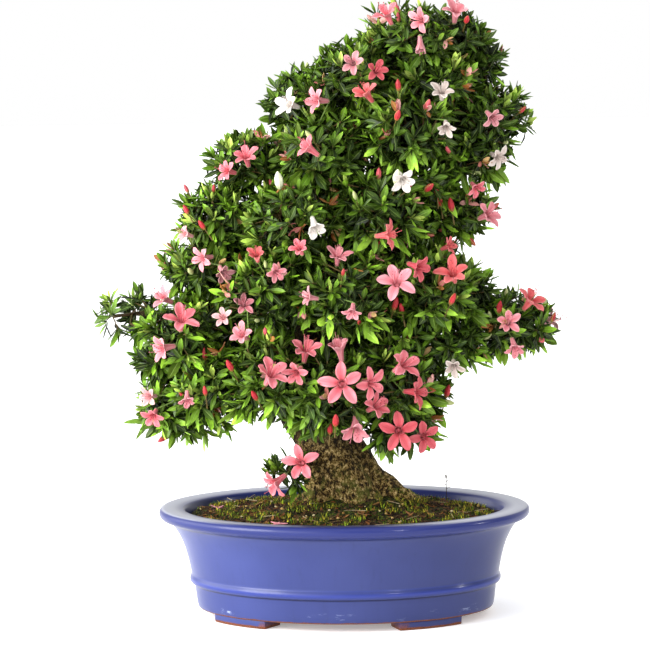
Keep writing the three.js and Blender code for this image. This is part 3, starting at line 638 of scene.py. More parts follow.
def basis(ways, ups):
    """Turns whose Y runs along each way and whose Z leans towards each up."""
    y = ways / np.linalg.norm(ways, axis=1, keepdims=True)
    x = np.cross(y, ups)
    x /= np.maximum(np.linalg.norm(x, axis=1, keepdims=True), 1e-9)
    return np.stack([x, y, np.cross(x, y)], axis=2)


def unit(ways):
    return ways / np.linalg.norm(ways, axis=1, keepdims=True)


print("stamping ready")

# %% [markdown]
# ## What lies on the soil
#
# Moss shows as soft upright tips, so a thin four-sided tip is stamped over the mossy patches,
# taller where noise makes a tuft and sunk between tufts, with painted light on the tufts and painted
# shade between them. Baked clay grains, rust-brown dead leaves and pale twigs lie between them, and
# a few petals have dropped. All of it is one piece, because it lies loose on the soil as one layer.

# %% Models of tip, grain, dead leaf and twig
tip = start_piece(bpy.ops.mesh.primitive_cone_add, vertices=4, radius1=0.5, radius2=0, depth=1,
                  end_fill_type="NGON", location=(0, 0, 0.5))
bpy.ops.object.transform_apply(location=True, rotation=True, scale=True)
moss_tip = Shape(tip)
grain = Shape(start_piece(
    bpy.ops.mesh.primitive_ico_sphere_add, subdivisions=1, radius=1, location=(0, 0, 0)))
flake = start_piece(
    bpy.ops.mesh.primitive_grid_add, x_subdivisions=2, y_subdivisions=4, size=2, location=(0, 0, 0))
flat = points_of(flake)
flat[:, 0] *= 0.36 * np.sqrt(np.maximum(0.02, 1 - flat[:, 1] ** 2))
flat[:, 2] = 0.18 * flat[:, 1] ** 2 + 0.3 * np.abs(flat[:, 0])
move_points(flake, flat)
flake.modifiers.new("thick", "SOLIDIFY").thickness = 0.07
apply_modifiers(flake)
dead_leaf = Shape(flake)
stick = start_piece(bpy.ops.mesh.primitive_cylinder_add, vertices=5, radius=1, depth=2, location=(0, 0, 0),
                    rotation=(math.radians(90), 0, 0))
bpy.ops.object.transform_apply(location=True, rotation=True, scale=True)
dead_twig = Shape(stick)
print("faces: tip", len(moss_tip.faces), "grain", len(grain.faces), "leaf", len(dead_leaf.faces))


# %% Moss over the soil
COVER_HALF_SIZES = (171, 128)
TRUNK_FOOT = (12, 62, 52)
MOSS_TRIES = 17000
MOSS_TINTS = np.array([srgb(tint) for tint in ("5E6A12", "8A9A22", "CDC23E", "5E8A1E", "B4A62E")])


def on_soil(count, lowest=0.0, highest=0.97):
    """Even random places on the soil, clear of the trunk's foot."""
    radius = np.sqrt(rng.uniform(lowest ** 2, highest ** 2, count * 2))
    turn = rng.uniform(0, 2 * np.pi, count * 2)
    x, y = COVER_HALF_SIZES[0] * radius * np.cos(turn), COVER_HALF_SIZES[1] * radius * np.sin(turn)
    clear = np.hypot((x - TRUNK_FOOT[0]) / TRUNK_FOOT[1], y / TRUNK_FOOT[2]) > 0.95
    x, y = x[clear][:count], y[clear][:count]
    return np.stack([x, y, soil_height(x, y) - 0.6], 1)


def random_turns(count, lean):
    """Turns about Z with a random lean, as things lie when they are dropped."""
    turn, tip = rng.uniform(0, 2 * np.pi, count), rng.normal(0, lean, count)
    ways = np.stack([np.cos(turn), np.sin(turn), np.sin(tip)], 1)
    return basis(ways, np.tile([0.0, 0, 1], (count, 1)))


ground_cover = Stack()
mossy = on_soil(MOSS_TRIES)
patches = np.array([noise.noise(Vector((p[0] * 0.042, p[1] * 0.05, 3))) for p in mossy])
mossy = mossy[patches > 0.02]
tufts = np.array([noise.noise(Vector((p[0] * 0.15, p[1] * 0.19, 7))) for p in mossy])
mossy[:, 2] += 2.4 * np.minimum(tufts, 0)
height = rng.uniform(1.6, 4.4, len(mossy)) + 3 * np.maximum(tufts, 0)
width = rng.uniform(0.5, 1.1, len(mossy))
lean = rng.normal(0, 0.28, (len(mossy), 2))
turns = np.zeros((len(mossy), 3, 3))
turns[:, 0, 0] = turns[:, 1, 1] = width
turns[:, 2, 2] = height
turns[:, 0, 2], turns[:, 1, 2] = lean[:, 0] * height, lean[:, 1] * height
shade = rng.uniform(0, 1, len(mossy))[:, None]
green = MOSS_TINTS[rng.integers(0, len(MOSS_TINTS), len(mossy))] * (0.06 + 1.1 * shade ** 1.5)
green *= rng.uniform(0.4, 1.7, (len(mossy), 1))
# Painted light and shade: tips on the tufts are painted brighter and tips sunk between tufts painted
# darker.
green *= np.clip(0.9 + 1.8 * tufts, 0.12, 1.9)[:, None]
ground_cover.add(moss_tip, turns, mossy, green)
print("moss tips:", len(mossy))


# %% Grains, litter and a dry weed
def scatter(shape, count, sizes, tints, lean=0.3, stretch=(1, 1, 1), lift=0.4, **where):
    places = on_soil(count, **where)
    places[:, 2] += lift
    size = rng.uniform(*sizes, len(places))[:, None, None]
    turns = random_turns(len(places), lean) * np.array(stretch)[None, None, :] * size
    tint = np.array([srgb(tints[i]) for i in rng.integers(0, len(tints), len(places))])
    ground_cover.add(shape, turns, places, tint)


scatter(grain, 2600, (0.5, 1.7), ["21160D", "3E2A18", "150E08", "4E3820", "6A4C2C"], stretch=(1, 1.1, 0.7))
scatter(grain, 150, (0.8, 2.0), ["C9B98C", "B89A5C", "8A6A34"], stretch=(1, 1.1, 0.75), lift=0.9)
scatter(dead_leaf, 520, (2, 5), ["5C3418", "7A4A20", "3A2210", "96683A", "4E3A1C"], lift=1.2, lean=0.35)
scatter(dead_twig, 110, (1, 1), ["B5A582", "7A6340", "4A3420"], stretch=(0.3, 8, 0.3), lift=1.6, lean=0.12)
for x, y in ((-140, -6), (-136, -12), (-60, -112), (-55, -108)):
    places = np.array([[x, y, soil_height(x, y) + 1.5]])
    ground_cover.add(dead_leaf, random_turns(1, 0.4) * 9, places, [srgb("E29AA2")])
weed = np.array([[104, 94, soil_height(104, 94) - 1]])
upright = np.diag([0.4, 0.4, 1]) @ [[1, 0, 0], [0, 0, 1], [0, 14, 0]]
ground_cover.add(dead_twig, upright[None], weed + (0, 0, 13), [srgb("3F3222")])
for height, turn in ((14, 0.3), (18, 2.6), (22, 0.9), (26, 3.6), (27, 1.7)):
    way = np.array([[math.cos(turn), math.sin(turn) * 0.4, 0.5]])
    turns = basis(way, np.array([[0, 0, 1.0]])) * 2.6
    ground_cover.add(dead_leaf, turns, weed + (0, 0, height) + way * 2.2, [srgb("5A4A34")])
cover = ground_cover.piece("ground_cover", pot_axes)
print("ground cover:", len(cover.data.polygons), "faces")

# %% [markdown]
# The finish of the cover takes each copy's tint and speckles it, as dust and crumbs do.

# %% Cover finish
cover_finish, shader = new_finish("moss_and_litter", 0.85, Specular_IOR_Level=0.25)
tint = node(cover_finish, "ShaderNodeAttribute", attribute_name="tint")
fine = pattern(cover_finish, Scale=300.0, Detail=2.0)
dark = ramp(cover_finish, fine.outputs["Fac"], [(0.3, (0.62, 0.62, 0.62)), (0.7, (1.0, 1.0, 1.0))])
colour = mix(cover_finish, 1.0, tint.outputs["Color"], dark, "MULTIPLY")
link(cover_finish, colour, shader.inputs["Base Color"])
hand_over(soil, "mossy_soil", earth, "soil")
hand_over(cover, "moss_and_litter", cover_finish)
print("soil and cover:", triangles(soil) + triangles(cover), "triangles")

# %% [markdown]
# ## Netting over the drain holes
#
# Two squares of black plastic netting lie under the soil. Their solids are already the right
# shape, so they only get a finish: dark plastic with a little dust from the soil.

# %% Netting finish
plastic, shader = new_finish("black_netting", 0.5)
dust_and_sheen = pattern(plastic, Scale=160.0, Detail=4.0)
link(plastic, ramp(plastic, dust_and_sheen.outputs["Fac"], [(0.4, srgb("151515")), (0.75, srgb("4A4036"))]),
     shader.inputs["Base Color"])
bump(plastic, shader, dust_and_sheen.outputs["Fac"], 0.0002, 0.4)
for side in ("left", "right"):
    screen = frame["nodes"][f"drain_screen_{side}"]
    screen.data.materials.clear()
    screen.data.materials.append(plastic)
print("netting done")

# %% [markdown]
# ## The trunk and its branches
#
# The trunk is thick at the soil, grips it with a few strong roots and leans to the left before it
# turns back up through the crown. A ring of points is extruded station by station along that line
# and drawn in as it climbs. Branches are tapering tubes that start inside the trunk. A voxel
# remesh then grows trunk, roots and branches together into one skin, as bark does at a fork, and
# noise in the mesh gives the hollows and upright fissures that catch the light.

# %% Trunk line and rings
TRUNK = [
    (12, 0, 96, 62, 52), (12, 0, 112, 60, 50), (10, 0, 124, 56, 46), (3, 0, 142, 49, 42),
    (-5, 0, 164, 42, 37), (-14, 0, 188, 38, 34), (-30, 0, 216, 37, 32), (-40, 4, 252, 31, 28),
    (-38, 8, 300, 25, 24), (-14, 10, 356, 21, 20), (14, 8, 412, 17, 17), (42, 6, 480, 13, 13),
    (66, 8, 545, 9, 9), (90, 10, 612, 5, 5),
]
ROOT_RIDGES = 5
SIDES = 48


def trunk_station(height):
    heights = [station[2] for station in TRUNK]
    return [float(np.interp(height, heights, [station[k] for station in TRUNK])) for k in range(5)]


trunk = start_ring(SIDES)
heights = np.concatenate([np.linspace(96, 260, 34), np.linspace(266, 612, 40)])
draw_rings(len(heights) - 1)
rings = points_of(trunk)
order = np.round(rings[:, 2]).astype(int)
turn = np.arctan2(rings[:, 1], rings[:, 0])
for step, height in enumerate(heights):
    x, y, _, across, along = trunk_station(height)
    here = order == step
    flare = max(0, (190 - height) / 190)
    twist = (height - SOIL_CROWN) * 0.012
    ridge = 1 + (0.05 + 0.3 * flare) * np.cos(ROOT_RIDGES * turn[here] + twist)
    ridge += (0.03 * np.cos(3 * turn[here] - 2 * twist)
              + 0.05 * np.cos(8 * turn[here] + 3 * twist) * (0.4 + flare))
    rings[here] = np.stack([
        x + across * ridge * np.cos(turn[here]), y + along * ridge * np.sin(turn[here]),
        np.full(here.sum(), height)], 1)
move_points(trunk, rings)
print("trunk rings:", len(heights))

# %% [markdown]
# Each pad of foliage hangs on one branch, and each soft lump of leaves in a pad on a side branch
# of it. The pads are listed with the height where their branch leaves the trunk, and with the
# middle and half-size of each lump, measured out to the leaf tips.

# %% Pads of foliage
PADS = {
    "foliage_apex": (560, [
        (100, 10, 630, 70, 72, 36), (140, 0, 629, 29, 45, 28), (55, 55, 615, 48, 50, 32),
    ]),
    "foliage_left_shoulder": (505, [(12, -15, 588, 52, 60, 38), (-42, 0, 568, 40, 48, 30)]),
    "foliage_right_shoulder": (480, [
        (158, 0, 541, 52, 60, 39), (161, 5, 602, 20, 30, 24), (110, -15, 584, 46, 50, 30),
        (168, 12, 498, 24, 34, 22),
    ]),
    "foliage_upper_front": (470, [(75, -50, 535, 56, 58, 44), (-12, -42, 512, 56, 60, 48)]),
    "foliage_left_upper": (420, [
        (-98, 0, 499, 47, 52, 32), (-123, -5, 440, 54, 58, 42), (-148, -10, 386, 48, 52, 36),
    ]),
    "foliage_middle_front": (400, [
        (42, -65, 450, 56, 58, 46), (-45, -68, 440, 54, 58, 46), (88, -30, 478, 38, 45, 32),
    ]),
    "foliage_right_middle": (385, [(121, 0, 443, 50, 58, 31), (138, -5, 504, 38, 50, 29)]),
    "foliage_centre_front": (330, [(-78, -75, 362, 58, 58, 48), (5, -88, 365, 58, 60, 50)]),
    "foliage_right_branch": (300, [
        (95, -52, 362, 58, 62, 46), (136, -10, 354, 36, 52, 30), (177, 0, 319, 48, 60, 36),
        (114, -25, 307, 52, 60, 36), (205, 0, 317, 30, 40, 23), (66, -48, 322, 40, 44, 34),
    ]),
    "foliage_left_branch": (285, [
        (-165, -30, 320, 54, 60, 42), (-228, 0, 336, 44, 42, 28), (-140, -35, 259, 50, 60, 41),
        (-181, 0, 240, 44, 52, 44), (-196, -8, 284, 32, 40, 20),
    ]),
    "foliage_low_front": (245, [
        (-74, -78, 275, 52, 56, 50), (-15, -88, 258, 48, 52, 50), (50, -62, 264, 52, 55, 52),
        (74, -22, 222, 30, 42, 33), (87, -24, 249, 28, 38, 32), (44, -42, 214, 24, 34, 26),
    ]),
    "foliage_back_upper": (450, [
        (95, 68, 545, 62, 60, 50), (-22, 62, 508, 64, 60, 52), (40, 88, 440, 62, 54, 48),
    ]),
    "foliage_back_lower": (320, [
        (-62, 86, 400, 64, 60, 52), (82, 80, 370, 74, 66, 54), (-130, 66, 305, 64, 60, 52),
        (5, 99, 300, 72, 57, 56),
    ]),
    "foliage_low_shoot": (165, [(-60, -66, 168, 26, 26, 22)]),
}
lumps = [(name, lump) for name, (start, pad) in PADS.items() for lump in pad]
print(len(PADS), "pads,", len(lumps), "lumps")

# %% Branches and surface roots
ROOTS = ((-6, 108, 20), (38, 88, 17), (150, 74, 18), (206, 72, 18), (-58, 78, 19), (95, 78, 18))
WELD_VOXEL = 1.9


def tube(points, radii, sides):
    """A tapering closed tube through some points, as an object."""
    limb = start_ring(sides)
    draw_rings(len(points) - 1)
    flat = points_of(limb)
    order = np.round(flat[:, 2]).astype(int)
    points = np.asarray(points, float)
    ways = np.gradient(points, axis=0)
    whole = points[-1] - points[0]
    level = abs(whole[2]) < 0.9 * np.linalg.norm(whole)
    side = np.array([0.0, 0, 1]) if level else np.array([1.0, 0, 0])
    placed = np.empty_like(flat)
    for step, (point, way, radius) in enumerate(zip(points, ways, radii)):
        way = way / np.linalg.norm(way)
        across = np.cross(side, way)
        across /= np.linalg.norm(across)
        along = np.cross(way, across)
        here = order == step
        placed[here] = point + radius * (flat[here, :1] * across + flat[here, 1:2] * along)
    move_points(limb, placed)
    return limb


def bowed(start, end, rise, count, wander):
    """Points from start to end that bow upwards and wander a little, as a branch grows."""
    start, end = np.asarray(start, float), np.asarray(end, float)
    share = np.linspace(0, 1, count)[:, None]
    line = start + (end - start) * share
    line[:, 2] += rise * np.sin(np.pi * share[:, 0])
    line[1:-1] += rng.normal(0, wander, (count - 2, 3))
    return line


limbs = [trunk]
for name, (start, pad) in PADS.items():
    x, y, z, across, along = trunk_station(start)
    thick = min(0.6 * min(across, along), 11)
    path = bowed((x, y, z), pad[0][:3], 10, 9, 1.6)
    limbs.append(tube(path, np.linspace(thick, 0.45 * thick, 9), 10))
    for index, lump in enumerate(pad[1:], 1):
        near = min(pad[:index], key=lambda other: math.dist(other[:3], lump[:3]))
        limbs.append(tube(bowed(near[:3], lump[:3], 6, 7, 1.8), np.linspace(0.45 * thick, 2.2, 7), 7))
for turn, reach, thick in ROOTS:
    way = np.array([math.cos(math.radians(turn)), math.sin(math.radians(turn)) * 0.85, 0])
    path = [np.array([10, 0, height]) + way * share * reach
            for share, height in ((0.28, 138), (0.48, 126), (0.68, 117), (0.88, 111), (1.0, 103))]
    limbs.append(tube(path, [thick * share for share in (1, 0.78, 0.55, 0.35, 0.15)], 12))
wood = join_pieces(limbs)
weld = wood.modifiers.new("weld", "REMESH")
weld.mode = "VOXEL"
weld.voxel_size = WELD_VOXEL
apply_modifiers(wood)
print("wood after remesh:", len(wood.data.polygons), "faces")

# %% Bark relief
skin = points_of(wood)
wood.data.update()
normals = read_points(wood, "normal")
thick = np.clip((300 - skin[:, 2]) / 180, 0, 1)
swell = rough(skin, 26, 3.4, 2)
furrow = 0.7 - np.abs(rough(skin * (1, 1, 0.6), 8, 2.2, 3))
pits = -1.6 * np.clip(rough(skin, 5.5, 1.0, 2) - 0.25, 0, 1)
relief = (swell + furrow + pits) * thick + rough(skin, 6, 0.7, 2) * (1 - thick)
skin += normals * relief[:, None]
move_points(wood, carry(tree_axes, skin))
wood.data.shade_smooth()
print("bark relief from", relief.min().round(2), "to", relief.max().round(2), "mm")

# %% [markdown]
# Bark on an old azalea is thin, tan to grey-brown, flaking in upright plates, with darker
# fissures between them. Green algae creeps up from the moss at the foot, and under the crown the
# bark is painted dark, a painted shade for the crown's shadow. Stretched noise makes the plates
# and height decides the rest.

# %% Bark finish
bark, shader = new_finish("bark", 0.85, Specular_IOR_Level=0.25)
plates = pattern(bark, stretch=(1, 1, 0.8), Scale=260.0, Detail=8.0, Roughness=0.78)
blotch = pattern(bark, stretch=(1, 1, 0.7), Scale=34.0, Detail=6.0, Roughness=0.65)
colour = ramp(bark, plates.outputs["Fac"], [
    (0.42, srgb("0C0702")), (0.48, srgb("38280D")), (0.535, srgb("8C7440")),
    (0.58, srgb("C9B27A")), (0.66, srgb("EADCB4"))])
tone = ramp(bark, blotch.outputs["Fac"], [
    (0.36, (0.5, 0.44, 0.33)), (0.5, (0.95, 0.89, 0.77)), (0.62, (1.0, 0.98, 0.93))])
colour = mix(bark, 1.0, colour, tone, "MULTIPLY")
level = object_axes(bark)[2]
film = pattern(bark, Scale=60.0, Detail=6.0, Roughness=0.7)
algae = sum_of(bark, "MULTIPLY", band(bark, level, 0.19, 0.115), band(bark, film.outputs["Fac"], 0.5, 0.6))
colour = mix(bark, algae, colour, srgb("5A5F22"))
# Painted shade: the bark is darkened from 172 mm up, fully from 212 mm, where the crown shades it.
shaded = sum_of(bark, "MULTIPLY", band(bark, level, 0.172, 0.212), 0.8)
colour = mix(bark, shaded, colour, srgb("1E170E"))
link(bark, colour, shader.inputs["Base Color"])
bump(bark, shader, plates.outputs["Fac"], 0.0022, 1.0)
hand_over(wood, "trunk_with_branches", bark, "trunk_and_branches")
print("bark nodes:", len(bark.node_tree.nodes))

# %% [markdown]
# Moss doesn't stop where the bark begins. It climbs a few centimetres up the roots, which softens
# the line between trunk and soil, so the same moss tips are stamped on the lowest bark too.

# %% Moss on the roots
skin = points_of(wood)
normals = read_points(wood, "normal")
level = skin[:, 2] / MM
chance = np.clip((146 - level) / 20, 0, 1)
patches = np.array([noise.noise(Vector(p) / 0.014) for p in skin])
chosen = (level > 110) & (normals[:, 2] > -0.2) & (patches > 0.25 - 0.5 * chance)
chosen &= rng.uniform(0, 1, len(skin)) < chance
feet, ways = skin[chosen], normals[chosen]
ways = unit(ways + (0, 0, 0.7) + rng.normal(0, 0.2, ways.shape))
turns = basis(ways, np.tile([0.3, 0.2, 1.0], (len(ways), 1)))[:, :, [0, 2, 1]]
width, height = rng.uniform(0.5, 1.0, len(ways)), rng.uniform(1.4, 3.4, len(ways))
turns = turns * np.stack([width, width, height], 1)[:, None] * MM
tint = MOSS_TINTS[rng.integers(0, len(MOSS_TINTS), len(ways))] * rng.uniform(0.2, 1.2, (len(ways), 1))
root_moss = Stack()
root_moss.add(moss_tip, turns, feet - ways * 0.0006, tint)
root_moss = root_moss.piece("root_moss", Matrix.Identity(4))
hand_over(root_moss, "moss_on_roots", cover_finish)
print("moss on the roots:", len(ways), "tips")

# %% [markdown]
# ## Which flowers there are
#
# Some seventy flowers stand in and on the foliage, alone or in small sprays. Each is listed by
# its place, the way it faces in turn and lift, its radius and how far it has opened, each spray
# by its tint, and a flower that has faded or is fresher than its neighbours by a tint of its own.
# They are listed before the leaves are made, because leaves have to keep out of their way.

# %% Table of flowers
SPRAYS = [
    ("pink", (-45, -88, 180, -12, 15, 20, 72), (-72, -92, 160, -55, -30, 19, 52)),
    ("pink", (0, -138, 270, 0, 8, 23, 76), (-2, -110, 303, -28, 70, 19, 38, "blush")),
    ("rose", (30, -120, 268, 35, -5, 19, 66, "pink"),
     (65, -112, 286, 45, 30, 21, 60, "pink"), (78, -104, 256, 60, 0, 19, 66)),
    ("pink", (35, -110, 242, 45, 25, 18, 56), (13, -116, 220, -5, -50, 21, 50, "blush")),
    ("rose", (60, -100, 214, 5, 0, 22, 76), (87, -82, 205, 20, -5, 19, 70)),
    ("pink", (-75, -142, 281, 30, 42, 21, 56)),
    ("rose", (-38, -112, 303, 15, 58, 20, 50, "pink"), (-48, -128, 282, -25, -20, 16, 60, "pink")),
    ("pink", (-170, -92, 336, 10, 48, 21, 60), (-190, -84, 306, -55, -5, 19, 54, "blush")),
    ("pale", (-105, -102, 320, -35, 30, 16, 60, "blush"),
     (-125, -90, 338, -20, 20, 12, 58), (-103, -98, 352, 10, 25, 13, 52, "blush")),
    ("pale", (-190, -48, 356, -50, 25, 16, 50, "blush")),
    ("pale", (-146, -62, 400, -55, -5, 16, 58, "blush"),
     (-125, -82, 386, 25, -35, 14, 58, "dusty"), (-165, -42, 425, -60, 20, 12, 54)),
    ("pink", (-98, -58, 507, -15, 52, 17, 52), (-118, -58, 493, -50, 15, 15, 54)),
    ("pink", (-30, -102, 517, -62, 35, 18, 46)),
    ("white", (-50, -56, 563, -45, 15, 18, 60), (-20, -66, 567, -55, 5, 18, 54, "blush")),
    ("pale", (56, -38, 656, -35, 50, 17, 50, "pink")),
    ("pale", (92, -56, 650, -35, 0, 16, 58, "blush"), (90, -72, 624, 5, -68, 14, 16, "dusty")),
    ("pink", (130, -30, 658, 12, 58, 18, 52, "blush")),
    ("coral", (18, -76, 606, -15, 15, 15, 60, "dusty"),
     (42, -74, 597, 25, 20, 15, 56, "rose"), (32, -82, 573, -42, 42, 17, 40)),
    ("dusty", (112, -76, 573, 0, 45, 15, 60, "ash"), (115, -92, 537, 0, -40, 13, 50, "ash")),
    ("rose", (165, -66, 546, 30, -30, 15, 46, "dusty")),
    ("white", (172, -44, 502, 40, -20, 15, 64, "ash"), (148, -46, 470, 30, -30, 13, 50, "pink")),
    ("white", (68, -107, 483, 15, -28, 17, 52)),
    ("white", (-26, -130, 437, 15, -40, 17, 36), (-42, -122, 412, -20, 40, 13, 48, "pink")),
    ("pale", (160, -48, 440, 45, 20, 18, 54, "blush")),
    ("coral", (50, -122, 425, 65, 5, 18, 64)),
    ("coral", (-88, -112, 405, -10, 45, 13, 44), (-68, -124, 388, 20, -20, 13, 52, "blush")),
    ("dusty", (-32, -140, 362, -65, 10, 13, 52), (12, -150, 348, -10, -50, 13, 48, "blush")),
    ("pale", (-2, -112, 402, 10, 58, 16, 52, "blush")),
    ("pale", (60, -116, 374, 0, 28, 22, 72, "light"), (82, -112, 390, 50, -15, 18, 54, "rose")),
    ("coral", (120, -104, 381, -10, 40, 20, 66), (116, -70, 408, 60, 20, 12, 52)),
    ("coral", (205, -50, 346, 40, 42, 19, 54)),
    ("pale", (180, -68, 325, 10, 20, 16, 50, "blush"), (187, -58, 298, 20, -50, 15, 48, "blush")),
    ("white", (120, -84, 281, 0, -30, 14, 54, "ash")),
    ("pale", (-208, -52, 250, -40, 0, 14, 58),
     (-204, -58, 230, -15, -30, 15, 54, "pink"), (-166, -92, 252, 0, -55, 13, 38, "blush")),
    ("pink", (-10, 124, 525, 178, 15, 20, 78)),
    ("rose", (115, 130, 550, 165, 20, 19, 74), (140, 116, 530, 145, 0, 17, 70)),
    ("pale", (-60, 147, 415, 190, 10, 21, 80)),
    ("pink", (90, 145, 385, 172, 12, 21, 80), (118, 138, 362, 155, -10, 19, 72)),
    ("coral", (-135, 130, 318, 192, 15, 20, 76)),
    ("pink", (0, 160, 300, 180, 5, 22, 80)),
    ("pale", (232, 20, 318, 100, 15, 18, 74)),
]


def facing_of(head):
    turn, lift = math.radians(head[3]), math.radians(head[4])
    return np.array([math.sin(turn) * math.cos(lift), -math.cos(turn) * math.cos(lift), math.sin(lift)])


heads = [head for tint, *spray in SPRAYS for head in spray]
head_places = np.array([head[:3] for head in heads], float)
head_ways = np.array([facing_of(head) for head in heads])
head_sizes = np.array([head[5] for head in heads], float)
print(len(SPRAYS), "sprays,", len(heads), "flowers")

# %% [markdown]
# ## One leaf
#
# An azalea leaf is a narrow lance, a little folded along its midrib, two or three centimetres
# long. It starts as a grid three points wide. Its end rows are merged to points, the rows between
# are drawn in to the lance's outline, and the middle column is lowered for the fold. A flipped
# copy, joined along the edge, closes it from below, which costs only a few faces.

# %% Model one leaf
LEAF_THICKNESS = 0.012


def leaf_shape(rows, widths, fold):
    """A folded lance one unit long, from the places and half-widths of its rows."""
    leaf = start_piece(bpy.ops.mesh.primitive_grid_add, x_subdivisions=2, y_subdivisions=len(rows) - 1,
                       size=2, location=(0, 0, 0))
    flat = points_of(leaf)
    row = np.round((flat[:, 1] + 1) / 2 * (len(rows) - 1)).astype(int)
    half = np.array(widths)[row]
    middle = np.abs(flat[:, 0]) < 0.5
    move_points(leaf, np.stack([
        np.round(flat[:, 0]) * half, np.array(rows)[row], -fold * half * middle], 1))
    edit_all()
    bpy.ops.mesh.remove_doubles(threshold=1e-4)
    bpy.ops.mesh.duplicate()
    bpy.ops.mesh.flip_normals()
    bpy.ops.object.mode_set(mode="OBJECT")
    for v in leaf.data.vertices:
        if v.select and v.co.z < -1e-6:
            v.co.z -= LEAF_THICKNESS
    edit_all()
    bpy.ops.mesh.remove_doubles(threshold=1e-4)
    end_edit(outwards=True)
    return Shape(leaf)


LEAF = leaf_shape((0, 0.27, 0.58, 0.84, 1), (0, 0.08, 0.148, 0.09, 0), 0.35)
INNER_LEAF = leaf_shape((0, 0.3, 0.68, 1), (0, 0.11, 0.115, 0), 0.3)
rod = start_piece(bpy.ops.mesh.primitive_cone_add, vertices=4, radius1=1, radius2=0.6, depth=1,
                  location=(0, 0, 0.5))
bpy.ops.object.transform_apply(location=True, rotation=True, scale=True)
move_points(rod, points_of(rod)[:, [0, 2, 1]] * (1, 1, -1))
TWIG = Shape(rod)
print("leaf:", len(LEAF.points), "points,", len(LEAF.faces), "faces")

# %% [markdown]
# ## Shoots all over each lump
#
# Azalea leaves stand in whorls at the ends of fine shoots, and the shoots of a trimmed pad end in
# one soft surface. So shoot tips are spread evenly over each lump, each pointing outwards and a
# little up. Shoots hidden in another lump, in the wood or in front of a flower are left out.

# %% Places for shoots
def reach_in(lump, points):
    """How far out a point is from a lump's middle: 1 on its surface."""
    return np.linalg.norm((points - np.array(lump[:3])) / np.array(lump[3:]), axis=1)


def over_lump(lump, share, spacing):
    """Evenly spread places and outward ways over a lump at a share of its size."""
    half = np.array(lump[3:], float) * share
    a, b, c = half
    area = 4 * np.pi * (((a * b) ** 1.6 + (a * c) ** 1.6 + (b * c) ** 1.6) / 3) ** (1 / 1.6)
    count = max(6, int(area / spacing ** 2))
    step = np.arange(count) + 0.5
    level = 1 - 2 * step / count
    turn = step * np.pi * (3 - np.sqrt(5)) + rng.uniform(0, 6)
    ring = np.sqrt(1 - level ** 2)
    ball = np.stack([ring * np.cos(turn), ring * np.sin(turn), level], 1)
    ball += rng.normal(0, 0.35 * spacing / half.mean(), ball.shape)
    ball /= np.linalg.norm(ball, axis=1, keepdims=True)
    places = ball * half * rng.uniform(0.9, 1.08, (count, 1)) + np.array(lump[:3])
    return places, unit(ball / half)


def away_from_wood(points, gap):
    """Which points are clear of the trunk."""
    x, y, across, along = (np.interp(points[:, 2], [s[2] for s in TRUNK], [s[k] for s in TRUNK])
                           for k in (0, 1, 3, 4))
    away = np.hypot((points[:, 0] - x) / (across + gap), (points[:, 1] - y) / (along + gap))
    return (away > 1) & (points[:, 2] > SOIL_CROWN + 6)


def clear_of_flowers(points, ahead, near):
    """Which points don't stand in front of a flower, on its own side or the viewer's."""
    clear = np.ones(len(points), bool)
    for place, way, size in zip(head_places, head_ways, head_sizes):
        seen = np.array([0, -1.0, 0]) if place[1] < 20 else way
        for line, far in ((way, ahead), (seen, 3 * ahead)):
            apart = points - place
            along = apart @ line
            off = np.linalg.norm(apart - along[:, None] * line, axis=1)
            clear &= ~((along > -3) & (along < far) & (off < near * size))
    return clear


print("places for shoots ready")

# %% [markdown]
# A whorl of leaves is set round each shoot: five old leaves that spread, two that hang lower and
# are painted dark as painted shade, and at the tip four pale young leaves where the light is good,
# or else two middling ones.
# Each kind is one row of numbers: how many, how far they lean from the shoot in degrees, how long
# they are and how far they droop. Old leaves are dark and young ones yellower.

# %% Kinds of leaves and whorls
SPREADING = (5, (36, 70), (15, 26), (0.0, 0.35))
HANGING = (2, (72, 112), (16, 28), (0.1, 0.5))
YOUNG_TIP = (4, (8, 36), (12, 21), (-0.1, 0.15))
PLAIN_TIP = (2, (8, 36), (12, 21), (-0.1, 0.15))
UNDERSIDE = (2, (5, 45), (22, 33), (0.0, 0.3))
INNER = (6, (40, 95), (17, 27), (0, 0.4))


def whorl(hubs, axes, kind, tints, lit=1.0):
    """Leaves round each shoot: their ways, shoots, places, lengths, bends and tints."""
    count, tilt, length, droop = kind
    hubs, axes = np.repeat(hubs, count, 0), np.repeat(axes, count, 0)
    total = len(hubs)
    turn = np.tile(np.arange(count) * 2.4, total // count) + rng.uniform(0, 0.9, total)
    turn += np.repeat(rng.uniform(0, 6.3, total // count), count)
    side = unit(np.cross(axes, rng.normal(0, 1, 3) + (0.1, 0.2, 1)))
    out = side * np.cos(turn)[:, None] + np.cross(axes, side) * np.sin(turn)[:, None]
    lean = np.radians(rng.uniform(*tilt, total))[:, None]
    ways = axes * np.cos(lean) + out * np.sin(lean)
    lengths = rng.uniform(*length, total)
    places = hubs - axes * rng.uniform(0, 5, (total, 1))
    bend = rng.uniform(*droop, total)
    tint = tints(total) * np.repeat(lit, count, 0) if np.ndim(lit) else tints(total)
    return ways, axes, places, lengths, bend, tint


def greens(low, high, spread=0.12):
    """Random greens between two shades."""
    low, high = np.array(srgb(low)), np.array(srgb(high))

    def pick(count):
        share = rng.beta(1.6, 1.6, (count, 1))
        shade = low + (high - low) * share
        return shade * rng.uniform(1 - spread, 1 + spread, (count, 1))
    return pick


OLD, MIDDLE = greens("263A08", "466114"), greens("344A10", "526A1E")
SHADED, YOUNG = greens("0C1504", "1B2A08"), greens("4A611F", "727F38")
print("kinds of leaves ready")

# %% [markdown]
# Each leaf is bent down along its length before it is stamped, is a little paler towards its tip,
# and is left out where it would cover a flower or cut into the trunk.

